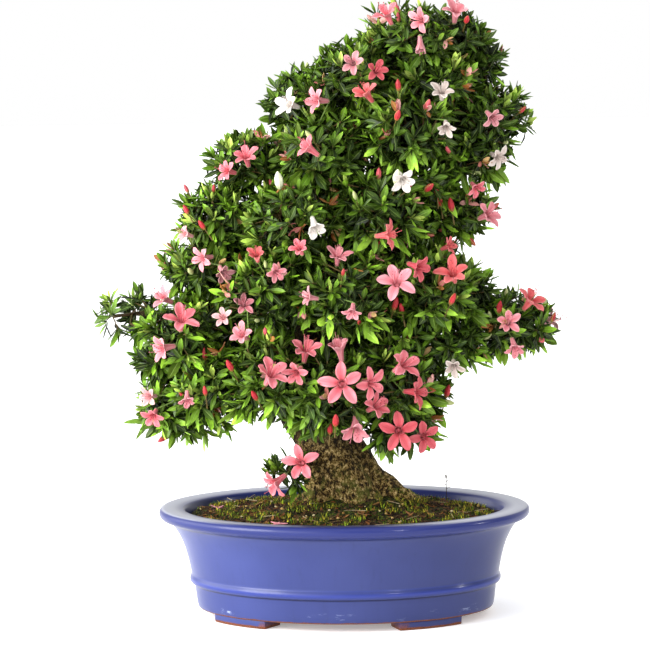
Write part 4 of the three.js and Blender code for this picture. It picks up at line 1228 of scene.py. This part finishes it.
# %% Bending and stamping leaves
def add_leaves(stack, shape, leaves, near=0.9):
    ways, axes, places, lengths, bend, tint = leaves
    middles, tips = places + ways * lengths[:, None] * 0.55, places + ways * lengths[:, None]
    keep = clear_of_flowers(middles, 26, near) & clear_of_flowers(tips, 26, near)
    keep &= away_from_wood(tips, 1) & away_from_wood(middles, 1)
    ways, axes, places, lengths, bend, tint = (part[keep] for part in leaves)
    points = np.repeat(shape.points[None], len(ways), 0)
    share = points[:, :, 1]
    points[:, :, 2] -= bend[:, None] * share ** 2
    points[:, :, 1] = share * (1 - 0.35 * bend[:, None] * share)
    points[:, :, 0] *= rng.uniform(0.8, 1.15, (len(ways), 1))
    points *= lengths[:, None, None]
    fade = 0.82 + 0.3 * share[:, :, None] * rng.uniform(0, 1, (len(ways), 1, 1))
    stack.add(shape, basis(ways, axes), places, tint[:, None, :] * fade, points=points)


def sticks(stack, starts, ends, thick, tint):
    """Straight twigs between points, four-sided and tapering."""
    ways = ends - starts
    length = np.linalg.norm(ways, axis=1)
    turns = basis(ways, np.tile([0.1, 0.3, 1.0], (len(ways), 1)))
    turns = turns * np.stack([thick, length, thick], 1)[:, None, :]
    stack.add(TWIG, turns, starts, np.tile(srgb(tint), (len(ways), 1)))


print("twig:", len(TWIG.faces), "faces")

# %% [markdown]
# The shoots of a lump don't end in a smooth ball. Soft noise pushes some groups out and holds
# others back, and leaves gaps between groups. The leaves of shoots that stand out, that face up or
# that stand on the left are painted lighter and the rest darker, a painted light and shade which
# gives the crown its depth.

# %% Outer shoots of a lump
SHOOT_SPACING = 16.5
INNER_SPACING = 20
AIRY_LUMPS = {(-228, 0, 336), (-60, -66, 168), (168, 12, 498)}
AIRY_SPACING = SHOOT_SPACING * 1.55
AIRY_INNER_SPACING = 46
CLUMP_SIZE = 24
stacks = {name: Stack() for name in PADS}
tips = []


def deep_in_others(lump, places):
    """Which places lie well inside another lump."""
    deep = np.zeros(len(places), bool)
    for _, other in lumps:
        if other is not lump:
            deep |= reach_in(other, places) < 0.8
    return deep


def outer_shoots(name, lump, spacing):
    """Shoots with their leaves all over a lump. Gives back their places."""
    places, ways = over_lump(lump, 0.86, spacing)
    clump = np.array([noise.noise(Vector(p) / CLUMP_SIZE) for p in places])
    middle = np.array(lump[:3], float)
    places = middle + (places - middle) * (0.86 + 0.46 * clump[:, None])
    rise = 0.35 + 0.5 * np.clip(ways[:, 2:] + 0.4, 0, 1)
    ways = unit(ways + rise * (0, 0, 1) + rng.normal(0, 0.25, ways.shape))
    keep = ~deep_in_others(lump, places) & away_from_wood(places, 3)
    keep &= clear_of_flowers(places, 14, 0.6) & (clump > -0.3)
    places, ways, clump = places[keep], ways[keep], clump[keep, None]
    if not len(places):
        return places
    tips.extend((name, place, way) for place, way in zip(places, ways))
    # Painted light and shade: leaves are tinted lighter on shoots that stand out, face up or stand on the
    # lit left, and darker elsewhere.
    lit = np.clip(0.64 + 0.45 * ways[:, 2:] + 1.3 * clump, 0.3, 1.1)
    sunny = 0.86 + 0.5 * np.clip((-places[:, :1] - 40) / 140, 0, 1)
    lit = lit * rng.uniform(0.55, 1.0, lit.shape) * sunny
    stack = stacks[name]
    add_leaves(stack, LEAF, whorl(places, ways, SPREADING, OLD, lit))
    # Painted shade: the hanging leaves take the dark SHADED greens.
    add_leaves(stack, LEAF, whorl(places, ways, HANGING, SHADED))
    fresh = (rng.uniform(0, 1, len(places)) < 0.42) & (lit[:, 0] > 0.6)
    for chosen, kind, tints in ((fresh, YOUNG_TIP, YOUNG), (~fresh, PLAIN_TIP, MIDDLE)):
        if chosen.any():
            add_leaves(stack, LEAF, whorl(places[chosen], ways[chosen], kind, tints, lit[chosen]))
    low = places[:, 2] < lump[2] - 0.35 * lump[5]
    if low.any():
        down = unit(ways[low] * (1, 1, 0.2) - (0, 0, 0.55))
        add_leaves(stack, LEAF, whorl(places[low], down, UNDERSIDE, MIDDLE))
    return places


print("outer shoots ready")

# %% [markdown]
# Inside each lump twigs run from its middle to a few hubs, and from the nearest hub to every
# shoot. A thinner layer of leaves grows there, painted dark as painted shade where the light is
# poor, and closes the view through the crown.

# %% Twigs and inner leaves, and all the foliage
def inner_growth(name, lump, places, spacing):
    """Twigs out to the shoots of a lump, and its inner leaves."""
    stack = stacks[name]
    hubs, _ = over_lump(lump, 0.5, 34)
    hubs = hubs[away_from_wood(hubs, 2)]
    if not len(hubs):
        return
    middle = np.tile(np.array(lump[:3], float), (len(hubs), 1))
    sticks(stack, middle, hubs, np.full(len(hubs), 1.7), "4A3523")
    if len(places):
        nearest = np.linalg.norm(places[:, None] - hubs[None], axis=2).argmin(1)
        sticks(stack, hubs[nearest], places, np.full(len(places), 0.95), "6E5C38")
    inner, ways = over_lump(lump, 0.62, spacing)
    ways = unit(ways + (0, 0, 0.2) + rng.normal(0, 0.4, ways.shape))
    keep = away_from_wood(inner, 3)
    # Painted shade: the inner leaves take the dark SHADED greens.
    add_leaves(stack, INNER_LEAF, whorl(inner[keep], ways[keep], INNER, SHADED), 0.8)


for name, lump in lumps:
    airy = lump[:3] in AIRY_LUMPS
    shoots = outer_shoots(name, lump, AIRY_SPACING if airy else SHOOT_SPACING)
    inner_growth(name, lump, shoots, AIRY_INNER_SPACING if airy else INNER_SPACING)
print(len(tips), "shoots,", sum(stack.count for stack in stacks.values()), "points of foliage")

# %% [markdown]
# ## Flower buds
#
# Unopened buds are small red drops that stand just clear of the leaves, green at the base. A
# sphere is drawn out into a drop, row by row, and stamped where buds show, with more of them on
# shoots taken by chance. Two larger ones are still greenish white.

# %% Buds
BUDS = [
    (62, 545), (45, 405), (56, 405), (56, 342), (66, 338), (118, 390), (116, 348), (92, 468), (106, 462),
    (110, 450), (122, 444), (230, 320), (113, 240), (-14, 212), (-8, 222), (-116, 282), (-146, 254),
    (-90, 252), (-144, 430), (-162, 446), (140, 646), (170, 332),
]
PALE_BUDS = [(-62, 474, 22), (60, 478, 19)]
MORE_BUDS = 90


def drop_shape(rings, sides):
    """A closed drop along Y through rings of (place, radius)."""
    drop = start_piece(bpy.ops.mesh.primitive_uv_sphere_add, segments=sides, ring_count=len(rings) + 1,
                       radius=1, location=(0, 0, 0))
    points = points_of(drop)
    level = np.round((1 - np.arccos(np.clip(points[:, 2], -1, 1)) / np.pi) * (len(rings) + 1)).astype(int)
    turn = np.arctan2(points[:, 1], points[:, 0])
    places = np.array([rings[0][0], *[ring[0] for ring in rings], rings[-1][0]])
    radii = np.array([0, *[ring[1] for ring in rings], 0])
    placed = np.stack([radii[level] * np.cos(turn), places[level], -radii[level] * np.sin(turn)], 1)
    placed[level == 0, 1] -= 0.02
    placed[level == len(rings) + 1, 1] += 0.02
    move_points(drop, placed)
    return Shape(drop)


def front_of(x, z):
    """The foremost place of the foliage at a point of its front."""
    front = 0.0
    for _, lump in lumps:
        share = 1 - ((x - lump[0]) / lump[3]) ** 2 - ((z - lump[2]) / lump[5]) ** 2
        if share > 0:
            front = min(front, lump[1] - lump[4] * math.sqrt(share))
    return front


def nearest_lump(point):
    return min(lumps, key=lambda entry: reach_in(entry[1], np.array([point]))[0])


BUD = drop_shape([(0.0, 0.06), (0.12, 0.15), (0.35, 0.21), (0.62, 0.2), (0.85, 0.12), (0.97, 0.04)], 8)


def add_bud(name, place, way, size, base, tip):
    fade = np.clip(BUD.points[:, 1:2] / 0.3, 0, 1)
    colour = np.array(srgb(base)) * (1 - fade) + np.array(srgb(tip)) * fade
    turn = basis(way[None], np.array([[0.3, 0.1, 1.0]]))
    stacks[name].add(BUD, turn, place[None], colour[None], points=BUD.points[None] * size)
    sticks(stacks[name], (place - way * 14)[None], (place + way * 1)[None], np.array([0.9]), "6B5A30")


def front_bud(x, z, size, base, tip):
    """A bud that stands just in front of the foliage."""
    place = np.array([x, front_of(x, z) + 3, z])
    name, lump = nearest_lump(place)
    aside = (place - np.array(lump[:3])) / 60
    way = unit(np.array([[0.7 * aside[0], -0.3, 0.9]]) + rng.normal(0, 0.2, (1, 3)))[0]
    add_bud(name, place, way, size, base, tip)


for x, z in BUDS:
    front_bud(x, z, rng.uniform(12, 17), "6A7A2C", rng.choice(["B8323A", "A82630"]))
for x, z, size in PALE_BUDS:
    front_bud(x, z, size, "8FA04A", "E4E6C8")
for pick in rng.choice(len(tips), MORE_BUDS, replace=False):
    name, place, way = tips[pick]
    red = rng.uniform() < 0.72
    base, tip = ("6A7A28", rng.choice(["AE343A", "C4555E"])) if red else ("6C8438", "B9C084")
    side = unit((way + (0, 0, 0.5) + rng.normal(0, 0.3, 3))[None])[0]
    add_bud(name, place + side * rng.uniform(5, 12), side, rng.uniform(9, 15), base, tip)
print(len(BUDS) + len(PALE_BUDS) + MORE_BUDS, "buds")

# %% [markdown]
# Flowers that are over stay on the tree for a while as crumpled tan or dull pink rags, and here
# and there a leaf turns orange before it drops. Both are the curled dead leaf from the soil,
# stamped four to a shoot.

# %% Withered flowers
WITHERED = [(-18, -100, 255), (14, -110, 391), (-77, -110, 278), (-130, -60, 395), (-60, -80, 480)]
MORE_WITHERED = 190
RAG_PIECES = 4
RAG_TINTS = ["A8703C", "C49E6C", "8A4E26", "C4827E", "D49A96", "B86A66"]
rags = [(nearest_lump(np.array(place, float))[0], np.array(place, float), np.array([0, -0.6, -0.5]))
        for place in WITHERED]
rags += [tips[pick] for pick in rng.choice(len(tips), MORE_WITHERED, replace=False)]
curled = dead_leaf.points + (0, 1, 0)
for name, place, way in rags:
    ways = unit(way + rng.normal(0, 0.7, (RAG_PIECES, 3)) - (0, 0, 0.3))
    sizes = rng.uniform(4, 8.5, RAG_PIECES)[:, None, None]
    tint = np.array([srgb(rng.choice(RAG_TINTS)) for _ in range(RAG_PIECES)])
    turns = basis(ways, rng.normal(0, 1, (RAG_PIECES, 3)))
    places = np.tile(place + way * 4, (RAG_PIECES, 1))
    stacks[name].add(dead_leaf, turns, places, tint, points=curled[None] * sizes)
print(len(rags), "withered flowers")

# %% [markdown]
# ## Leaf finish
#
# Leaves have a soft gloss and a paler midrib, and no two are the same green. Each leaf already
# carries its own shade as a colour on its points. The finish adds the midrib from the leaf's UV,
# where X runs across it, and mottles it finely.

# %% Leaf finish and pads of foliage
leaf_finish, shader = new_finish("azalea_leaf", 0.42, Specular_IOR_Level=0.2)
tint = node(leaf_finish, "ShaderNodeAttribute", attribute_name="tint")
mottle = pattern(leaf_finish, Scale=260.0, Detail=3.0)
shade = ramp(leaf_finish, mottle.outputs["Fac"], [(0.3, (0.7, 0.72, 0.66)), (0.65, (1.0, 1.0, 1.0))])
colour = mix(leaf_finish, 1.0, tint.outputs["Color"], shade, "MULTIPLY")
across = axes_of(leaf_finish, node(leaf_finish, "ShaderNodeUVMap", uv_map="UVMap").outputs["UV"])[0]
off_rib = sum_of(leaf_finish, "ABSOLUTE", sum_of(leaf_finish, "SUBTRACT", across, 0.5))
rib = sum_of(leaf_finish, "MULTIPLY", band(leaf_finish, off_rib, 0.07, 0.015), 0.35)
colour = mix(leaf_finish, rib, colour, srgb("A9C36A"))
link(leaf_finish, colour, shader.inputs["Base Color"])
bump(leaf_finish, shader, off_rib, 0.0004, 0.25)
for name, stack in stacks.items():
    pad = stack.piece(name, tree_axes)
    hand_over(pad, name.replace("foliage", "leaves"), leaf_finish, name)
    print(pad.name, triangles(pad), "triangles")

# %% [markdown]
# ## One petal
#
# A satsuki flower is a funnel that parts into five lobes. All five are alike, so one petal is
# modelled as a plain strip: a grid, fine enough to bend. Its lower third becomes a fifth of the
# tube, and the rest widens into an oblong lobe that curls back a little at its round tip.

# %% Petal strip
PETAL_ROWS = 15
PETAL_COLUMNS = 6
strip = start_piece(bpy.ops.mesh.primitive_grid_add, x_subdivisions=PETAL_COLUMNS,
                    y_subdivisions=PETAL_ROWS, size=2, location=(0, 0, 0))
PETAL = Shape(strip)
THROAT = 0.21
TUBE_SHARE = 0.3
TUBE_FLARE = math.radians(22)
TUBE_DEPTH = 0.7


def lobe_half_width(share):
    """Half the width of a lobe along it, as a share of the flower's radius."""
    swell = 0.115 + 0.115 * np.sin(np.pi / 2 * np.minimum(1, share / 0.5)) ** 1.2
    tip = np.maximum(0.004, 1 - (np.maximum(0, share - 0.5) / 0.5) ** 1.9) ** 0.62
    return swell * tip


def petal_points(radius, opening, turn, long, curl, wave):
    """The strip as one of five petals: X and Y across the flower, Z the way it faces."""
    u = PETAL.points[:, 0]
    v = (PETAL.points[:, 1] + 1) / 2
    tube = np.clip(v / TUBE_SHARE, 0, 1)
    s = np.clip((v - TUBE_SHARE) / (1 - TUBE_SHARE), 0, 1)
    throat = THROAT * radius
    arc = u * math.radians(36)
    narrow = 0.07 * radius + 0.8 + (throat - 0.07 * radius - 0.8) * tube ** 1.7
    run = (radius - throat) * long
    lean = math.radians(opening)
    width = lobe_half_width(s) * radius
    side = np.where(v < TUBE_SHARE, narrow * np.sin(arc), width * u)
    channel = (0.05 * u ** 2 - 0.03 * (1 - u ** 2)) * radius * np.minimum(1, s * 3)
    ruffle = (0.06 * radius * s * u * np.sin(7 * s + wave)
              + 0.03 * radius * s * np.abs(u) * np.sin(15 * s + 2 * wave))
    lift = (channel + ruffle) * np.sin(np.pi * np.clip(s, 0, 0.93))
    out = np.where(v < TUBE_SHARE, narrow * np.cos(arc),
                   throat + throat * (np.cos(arc) - 1) * np.maximum(0, 1 - 3 * s))
    steps = np.linspace(0, 1, 41)
    turning = np.clip(steps / 0.45, 0, 1)
    angle = TUBE_FLARE + (lean - TUBE_FLARE) * turning ** 1.3 * (2.3 - 1.3 * turning)
    gone = np.concatenate([[0], np.cumsum((np.sin(angle[1:]) + np.sin(angle[:-1])) / 80)])
    risen = np.concatenate([[0], np.cumsum((np.cos(angle[1:]) + np.cos(angle[:-1])) / 80)])
    out = out + 1.1 * run * np.interp(s, steps, gone) - lift * math.cos(lean)
    ahead = run * np.interp(s, steps, risen) - curl * radius * s ** 2 - 0.06 * radius * s ** 5
    ahead = ahead + lift * math.sin(lean) - TUBE_DEPTH * radius * (1 - tube)
    side = side + 0.09 * radius * s ** 2 * math.sin(wave * 3)
    c, d = math.cos(turn), math.sin(turn)
    return np.stack([c * out - d * side, d * out + c * side, ahead], 1)


print("petal strip:", len(PETAL.points), "points")

# %% [markdown]
# ## Stamens, calyx and stalk
#
# Five pink stamens with small dark anthers arch out of the throat, with a longer pistil among
# them. Behind the tube sits a small green calyx, and a thin stalk leads back to the shoot. The
# threads are rods that are bent in bulk, and the other parts are stamped drops.

# %% Small parts of a flower
thread = start_piece(
    bpy.ops.mesh.primitive_cylinder_add, vertices=4, radius=1, depth=1, location=(0, 0, 0.5))
bpy.ops.object.transform_apply(location=True, rotation=True, scale=True)
edit_all()
for level in (0.25, 0.5, 0.75):
    bpy.ops.mesh.bisect(plane_co=(0, 0, level), plane_no=(0, 0, 1))
    bpy.ops.mesh.select_all(action="SELECT")
end_edit()
THREAD = Shape(thread)
ANTHER = drop_shape([(-0.6, 0.5), (0.0, 0.75), (0.6, 0.5)], 5)
CALYX = drop_shape([(0.0, 0.35), (0.45, 0.9), (0.8, 1.05), (1.0, 0.8)], 8)


def bent_threads(starts, ends, sag, thick):
    """Threads from each start to each end, arching by sag, as points for the thread model."""
    t = THREAD.points[:, 2][None, :, None]
    ways = ends - starts
    ups = np.tile([0.2, 0.1, 1.0], (len(ways), 1))
    turns = basis(ways, ups)
    across = (turns[:, None, :, 0] * THREAD.points[None, :, :1]
              + turns[:, None, :, 2] * THREAD.points[None, :, 1:2])
    line = starts[:, None] + ways[:, None] * t + sag[:, None] * np.sin(np.pi * t)
    return line + across * thick * (1 - 0.3 * t)


print("thread:", len(THREAD.faces), "faces; calyx:", len(CALYX.faces), "faces")

# %% [markdown]
# ## Making a spray
#
# Each flower is bent from the strip to its own size and opening, five petals round its axis. The
# tube's edges are merged so that the funnel is one skin, and a Solidify gives the petals their
# half millimetre. The colour is deepest along each petal's middle and in the throat, and pales
# to its edges. It is kept on the points, so it follows the petal.

# %% Tints and turns of flowers
TINTS = {"pink": ("CC5460", "E28C94"), "rose": ("B43A45", "D0646B"), "pale": ("D0858B", "E0B6B4"),
         "coral": ("C64449", "D87674"), "dusty": ("B0646C", "D0989C"), "white": ("D6D0C8", "E8E4DE"),
         "blush": ("C86A75", "DE9CA2"), "light": ("DA7682", "E9A6AE"), "ash": ("B09D95", "D6CEC4")}
SLOT_TINTS = ("pink", "rose", "pale", "coral", "dusty", "white")
FLOWER_GROWTH = 1.08
FIXED_TURNS = {
    (-45, -88): 5, (0, -138): 5, (-75, -142): 5, (-170, -92): 16, (60, -100): 0, (87, -82): 18,
    (60, -116): 18, (120, -104): 10,
}


def head_turn(head):
    """Columns across, along and facing for a flower, turned about the way it faces."""
    facing = facing_of(head)
    across = np.array([math.cos(math.radians(head[3])), math.sin(math.radians(head[3])), 0])
    spin = math.radians(90 + FIXED_TURNS.get(tuple(head[:2]), rng.uniform(0, 72)))
    above = np.cross(facing, across)
    return np.stack([math.cos(spin) * across + math.sin(spin) * above,
                     -math.sin(spin) * across + math.cos(spin) * above, facing], 1)


def petal_colours(tint, wave):
    """Deep along the middle and at the throat, pale at the edge."""
    deep, pale = (np.array(srgb(shade)) for shade in TINTS[tint])
    u, v = PETAL.points[:, 0], (PETAL.points[:, 1] + 1) / 2
    share = 0.15 + 0.6 * np.abs(u) ** 1.6 + 0.25 * np.clip((v - 0.5) * 2, 0, 1) + 0.12 * math.sin(wave)
    share -= 0.28 * np.exp(-((v - 0.36) / 0.12) ** 2) * (1 - u ** 2)
    share = np.clip(share, 0, 1)[:, None]
    return deep * (1 - share) + pale * share


print(len(TINTS), "tints of flowers")

# %% [markdown]
# One finish is enough for each slot, because the tint comes with the points. A noise drawn out
# along the petal's UV adds fine veins, in the colour and as a slight relief.

# %% Petal finishes
petal_finishes = {}
for tint in SLOT_TINTS:
    petal, shader = new_finish(f"petal_{tint}", 0.5, Specular_IOR_Level=0.3, Sheen_Weight=0.15)
    shade = node(petal, "ShaderNodeAttribute", attribute_name="tint")
    along_petal = node(petal, "ShaderNodeUVMap", uv_map="UVMap")
    drawn_out = node(petal, "ShaderNodeMapping")
    drawn_out.inputs["Scale"].default_value = (9, 1.2, 1)
    veins = node(petal, "ShaderNodeTexNoise", Scale=1.6, Detail=2.0)
    link(petal, along_petal.outputs["UV"], drawn_out.inputs["Vector"])
    link(petal, drawn_out.outputs["Vector"], veins.inputs["Vector"])
    soft = ramp(petal, veins.outputs["Fac"], [(0.35, (0.86, 0.8, 0.8)), (0.6, (1.0, 1.0, 1.0))])
    colour = mix(petal, 1.0, shade.outputs["Color"], soft, "MULTIPLY")
    link(petal, colour, shader.inputs["Base Color"])
    bump(petal, shader, veins.outputs["Fac"], 0.0005, 0.35)
    petal_finishes[tint] = petal
print("petal finishes:", len(petal_finishes))

# %% [markdown]
# A flower's five petals differ a little in length, curl and wave, and so does how far each has
# opened. Behind the throat the calyx closes the tube, and the stalk starts at a joint well inside
# the nearest lump of leaves.

# %% Petals and hearts of flowers
THREADS = 6
PISTIL_REACH = 0.95
CALYX_GREEN = srgb("6D8B3A")
BACKWARDS = np.array([[0.1, 0.2, 1.0]])


def add_petals(petals, place, turn, radius, opening, tint):
    """Five petals round the axis of a flower."""
    for k in range(5):
        wave = rng.uniform(0, 6.3)
        turn_round = 2 * np.pi * k / 5 + rng.uniform(-0.12, 0.12)
        points = petal_points(radius, opening + rng.uniform(-16, 10), turn_round,
                              rng.uniform(0.86, 1.12), rng.uniform(0.04, 0.26), wave)
        petals.add(PETAL, turn[None], place[None], petal_colours(tint, wave)[None], points=points[None])


def add_threads(small, place, turn, radius, deep, pale):
    """Stamens with their anthers, and the longer pistil."""
    facing = turn[:, 2]
    round_turn = rng.uniform(0, 6.3, THREADS)
    spread = turn[:, 0][None] * np.cos(round_turn)[:, None] + turn[:, 1][None] * np.sin(round_turn)[:, None]
    starts = place - facing * 0.35 * radius + spread * 0.05 * radius
    reach = rng.uniform(0.45, 0.75, (THREADS, 1))
    reach[0] = PISTIL_REACH
    ends = place + facing * reach * radius + spread * 0.2 * radius + np.array([0, 0, 0.12 * radius])
    threads = bent_threads(starts, ends, np.tile([0, 0, -0.08 * radius], (THREADS, 1)), 0.32)
    small.add(THREAD, np.tile(np.eye(3), (THREADS, 1, 1)), np.zeros((THREADS, 3)),
              np.tile(0.5 * deep + 0.5 * pale, (THREADS, 1)), points=threads)
    turns = basis(ends - starts, np.tile([0.2, 0.1, 1.0], (THREADS, 1)))
    small.add(ANTHER, turns, ends, np.tile(0.6 * deep, (THREADS, 1)))


def add_heart(small, place, turn, radius, tint, joint):
    """The closed throat, threads, calyx and stalk of a flower."""
    facing = turn[:, 2]
    deep, pale = np.array(srgb(TINTS[tint][0])), np.array(srgb(TINTS[tint][1]))
    backwards = basis(facing[None], BACKWARDS)
    throat_place = (place - facing * 0.36 * radius)[None]
    small.add(ANTHER, backwards * (0.19 * radius), throat_place, [deep * 0.45 + pale * 0.55])
    add_threads(small, place, turn, radius, deep, pale)
    tail = place - facing * TUBE_DEPTH * radius
    small.add(CALYX, backwards * (0.07 * radius + 1.3), (tail - facing * 1.2)[None], [CALYX_GREEN])
    stalk = bent_threads(joint[None], (tail - facing)[None], np.array([[0, 0, 0.0]]), 0.9)
    small.add(THREAD, np.eye(3)[None], np.zeros((1, 3)), [CALYX_GREEN], points=stalk)


print("flower parts ready")

# %% Sprays of flowers
def petal_skin(petals):
    """Petals merged where their tube edges meet, with a wall of half a millimetre."""
    bloom = petals.piece("petals", Matrix.Identity(4))
    select_pieces([bloom])
    edit_all()
    bpy.ops.mesh.remove_doubles(threshold=0.01)
    bpy.ops.mesh.normals_make_consistent(inside=False)
    end_edit()
    wall = bloom.modifiers.new("wall", "SOLIDIFY")
    wall.thickness = 0.5
    wall.offset = 0
    apply_modifiers(bloom)
    bloom.data.shade_smooth()
    return bloom


total = 0
for number, (tint, *spray) in enumerate(SPRAYS, 1):
    petals, small = Stack(), Stack()
    middle = np.mean([head[:3] for head in spray], 0)
    lump = nearest_lump(middle)[1]
    core = middle - np.array(lump[:3])
    joint = np.array(lump[:3]) + core * 0.56 / max(0.56, reach_in(lump, middle[None])[0])
    for head in spray:
        place, radius = np.array(head[:3], float), FLOWER_GROWTH * head[5]
        own_tint = head[7] if len(head) > 7 else tint
        turn = head_turn(head)
        add_petals(petals, place, turn, radius, head[6], own_tint)
        add_heart(small, place, turn, radius, own_tint, joint)
    bloom = join_pieces([petal_skin(petals), small.piece("small", Matrix.Identity(4))])
    move_points(bloom, carry(tree_axes, points_of(bloom)))
    hand_over(bloom, f"blossom_{tint}_{number:02d}", petal_finishes[tint],
              f"flowers_{tint}_{number:02d}")
    total += triangles(bloom)
print(len(SPRAYS), "sprays of flowers,", total, "triangles")

# %% [markdown]
# ## Floor and light
#
# A white floor with a faint glow of its own stands for a lit studio sweep, with only a soft shadow
# under the pot. The sky is bright overhead and on the left and dark towards the front right, which
# lets the tone of tree and pot fall away to the right. The lights go in last, because only now is
# everything there that they have to flatter.

# %% Floor
floor = start_piece(
    bpy.ops.mesh.primitive_grid_add, x_subdivisions=4, y_subdivisions=4, size=40, location=(0, 0, 0))
floor.name = "floor"
paper, shader = new_finish("floor_paper", 0.9, Specular_IOR_Level=0.1, Emission_Color=(1, 1, 1, 1),
                           Emission_Strength=0.3)
fibre = pattern(paper, Scale=3.0, Detail=2.0)
white = ramp(paper, fibre.outputs["Fac"], [(0.3, (0.965, 0.965, 0.965)), (0.7, (0.98, 0.98, 0.98))])
link(paper, white, shader.inputs["Base Color"])
floor.data.materials.append(paper)
print("floor", round(floor.dimensions.x), "m wide")

# %% Sky
sky = bpy.data.worlds.new("sky")
bpy.context.scene.world = sky
sky.use_nodes = True
sky.node_tree.nodes["Background"].inputs["Color"].default_value = (1, 1, 1, 1)
outward = sky.node_tree.nodes.new("ShaderNodeTexCoord")
OVERHEAD_STRENGTH = 1.05


def sky_fall(axis, **ends):
    """A smooth change of strength with the way one looks, from one end to the other along an axis."""
    along = sky.node_tree.nodes.new("ShaderNodeVectorMath")
    along.operation = "DOT_PRODUCT"
    along.inputs[1].default_value = (tree_axes.to_3x3() @ Vector(axis)).normalized()
    fall = sky.node_tree.nodes.new("ShaderNodeMapRange")
    fall.interpolation_type = "SMOOTHSTEP"
    for socket, value in ends.items():
        fall.inputs[socket.replace("_", " ")].default_value = value
    sky.node_tree.links.new(outward.outputs["Generated"], along.inputs[0])
    sky.node_tree.links.new(along.outputs["Value"], fall.inputs["Value"])
    return fall


around = sky_fall((0.45, -0.9, 0), From_Min=-0.2, From_Max=0.55, To_Min=1.0, To_Max=0.02)
overhead = sky_fall((0, 0, 1), From_Min=0.3, From_Max=0.75, To_Min=0.0, To_Max=1.0)
left = sky_fall((-1, -0.35, 0.1), From_Min=0.35, From_Max=0.9, To_Min=0.0, To_Max=4.6)
sides = sky.node_tree.nodes.new("ShaderNodeMath")
sky.node_tree.links.new(around.outputs["Result"], sides.inputs[0])
sky.node_tree.links.new(left.outputs["Result"], sides.inputs[1])
blend = sky.node_tree.nodes.new("ShaderNodeMix")
sky.node_tree.links.new(overhead.outputs["Result"], blend.inputs["Factor"])
sky.node_tree.links.new(sides.outputs["Value"], blend.inputs["A"])
blend.inputs["B"].default_value = OVERHEAD_STRENGTH
sky.node_tree.links.new(blend.outputs["Result"], sky.node_tree.nodes["Background"].inputs["Strength"])
print("sky nodes:", len(sky.node_tree.nodes))

# %% [markdown]
# One large soft light stands at the front left, a little above the crown, and lays long highlights
# along the rim and the band of the glaze. Two small lights on the right are windows that sparkle
# in the glaze.

# %% Lights
def soft_light(name, place, aim, size, power):
    """A round area light, placed and aimed in the tree's axes."""
    data = bpy.data.lights.new(name, "AREA")
    data.shape = "DISK"
    data.size = size
    data.energy = power
    lamp = bpy.data.objects.new(name, data)
    bpy.context.scene.collection.objects.link(lamp)
    place, aim = tree_axes @ Vector(place), tree_axes @ Vector(aim)
    turn = (place - aim).to_track_quat("Z", "Y").to_matrix().to_4x4()
    lamp.matrix_world = Matrix.Translation(place) @ turn


soft_light("key", (-2250, -1350, 950), (0, 0, 250), 1.6, 72)
soft_light("window", (900, -2200, 1000), (0, 0, 150), 0.25, 9)
soft_light("far window", (2300, -550, 900), (0, 0, 150), 0.25, 9)
bpy.context.scene.view_settings.view_transform = "Standard"
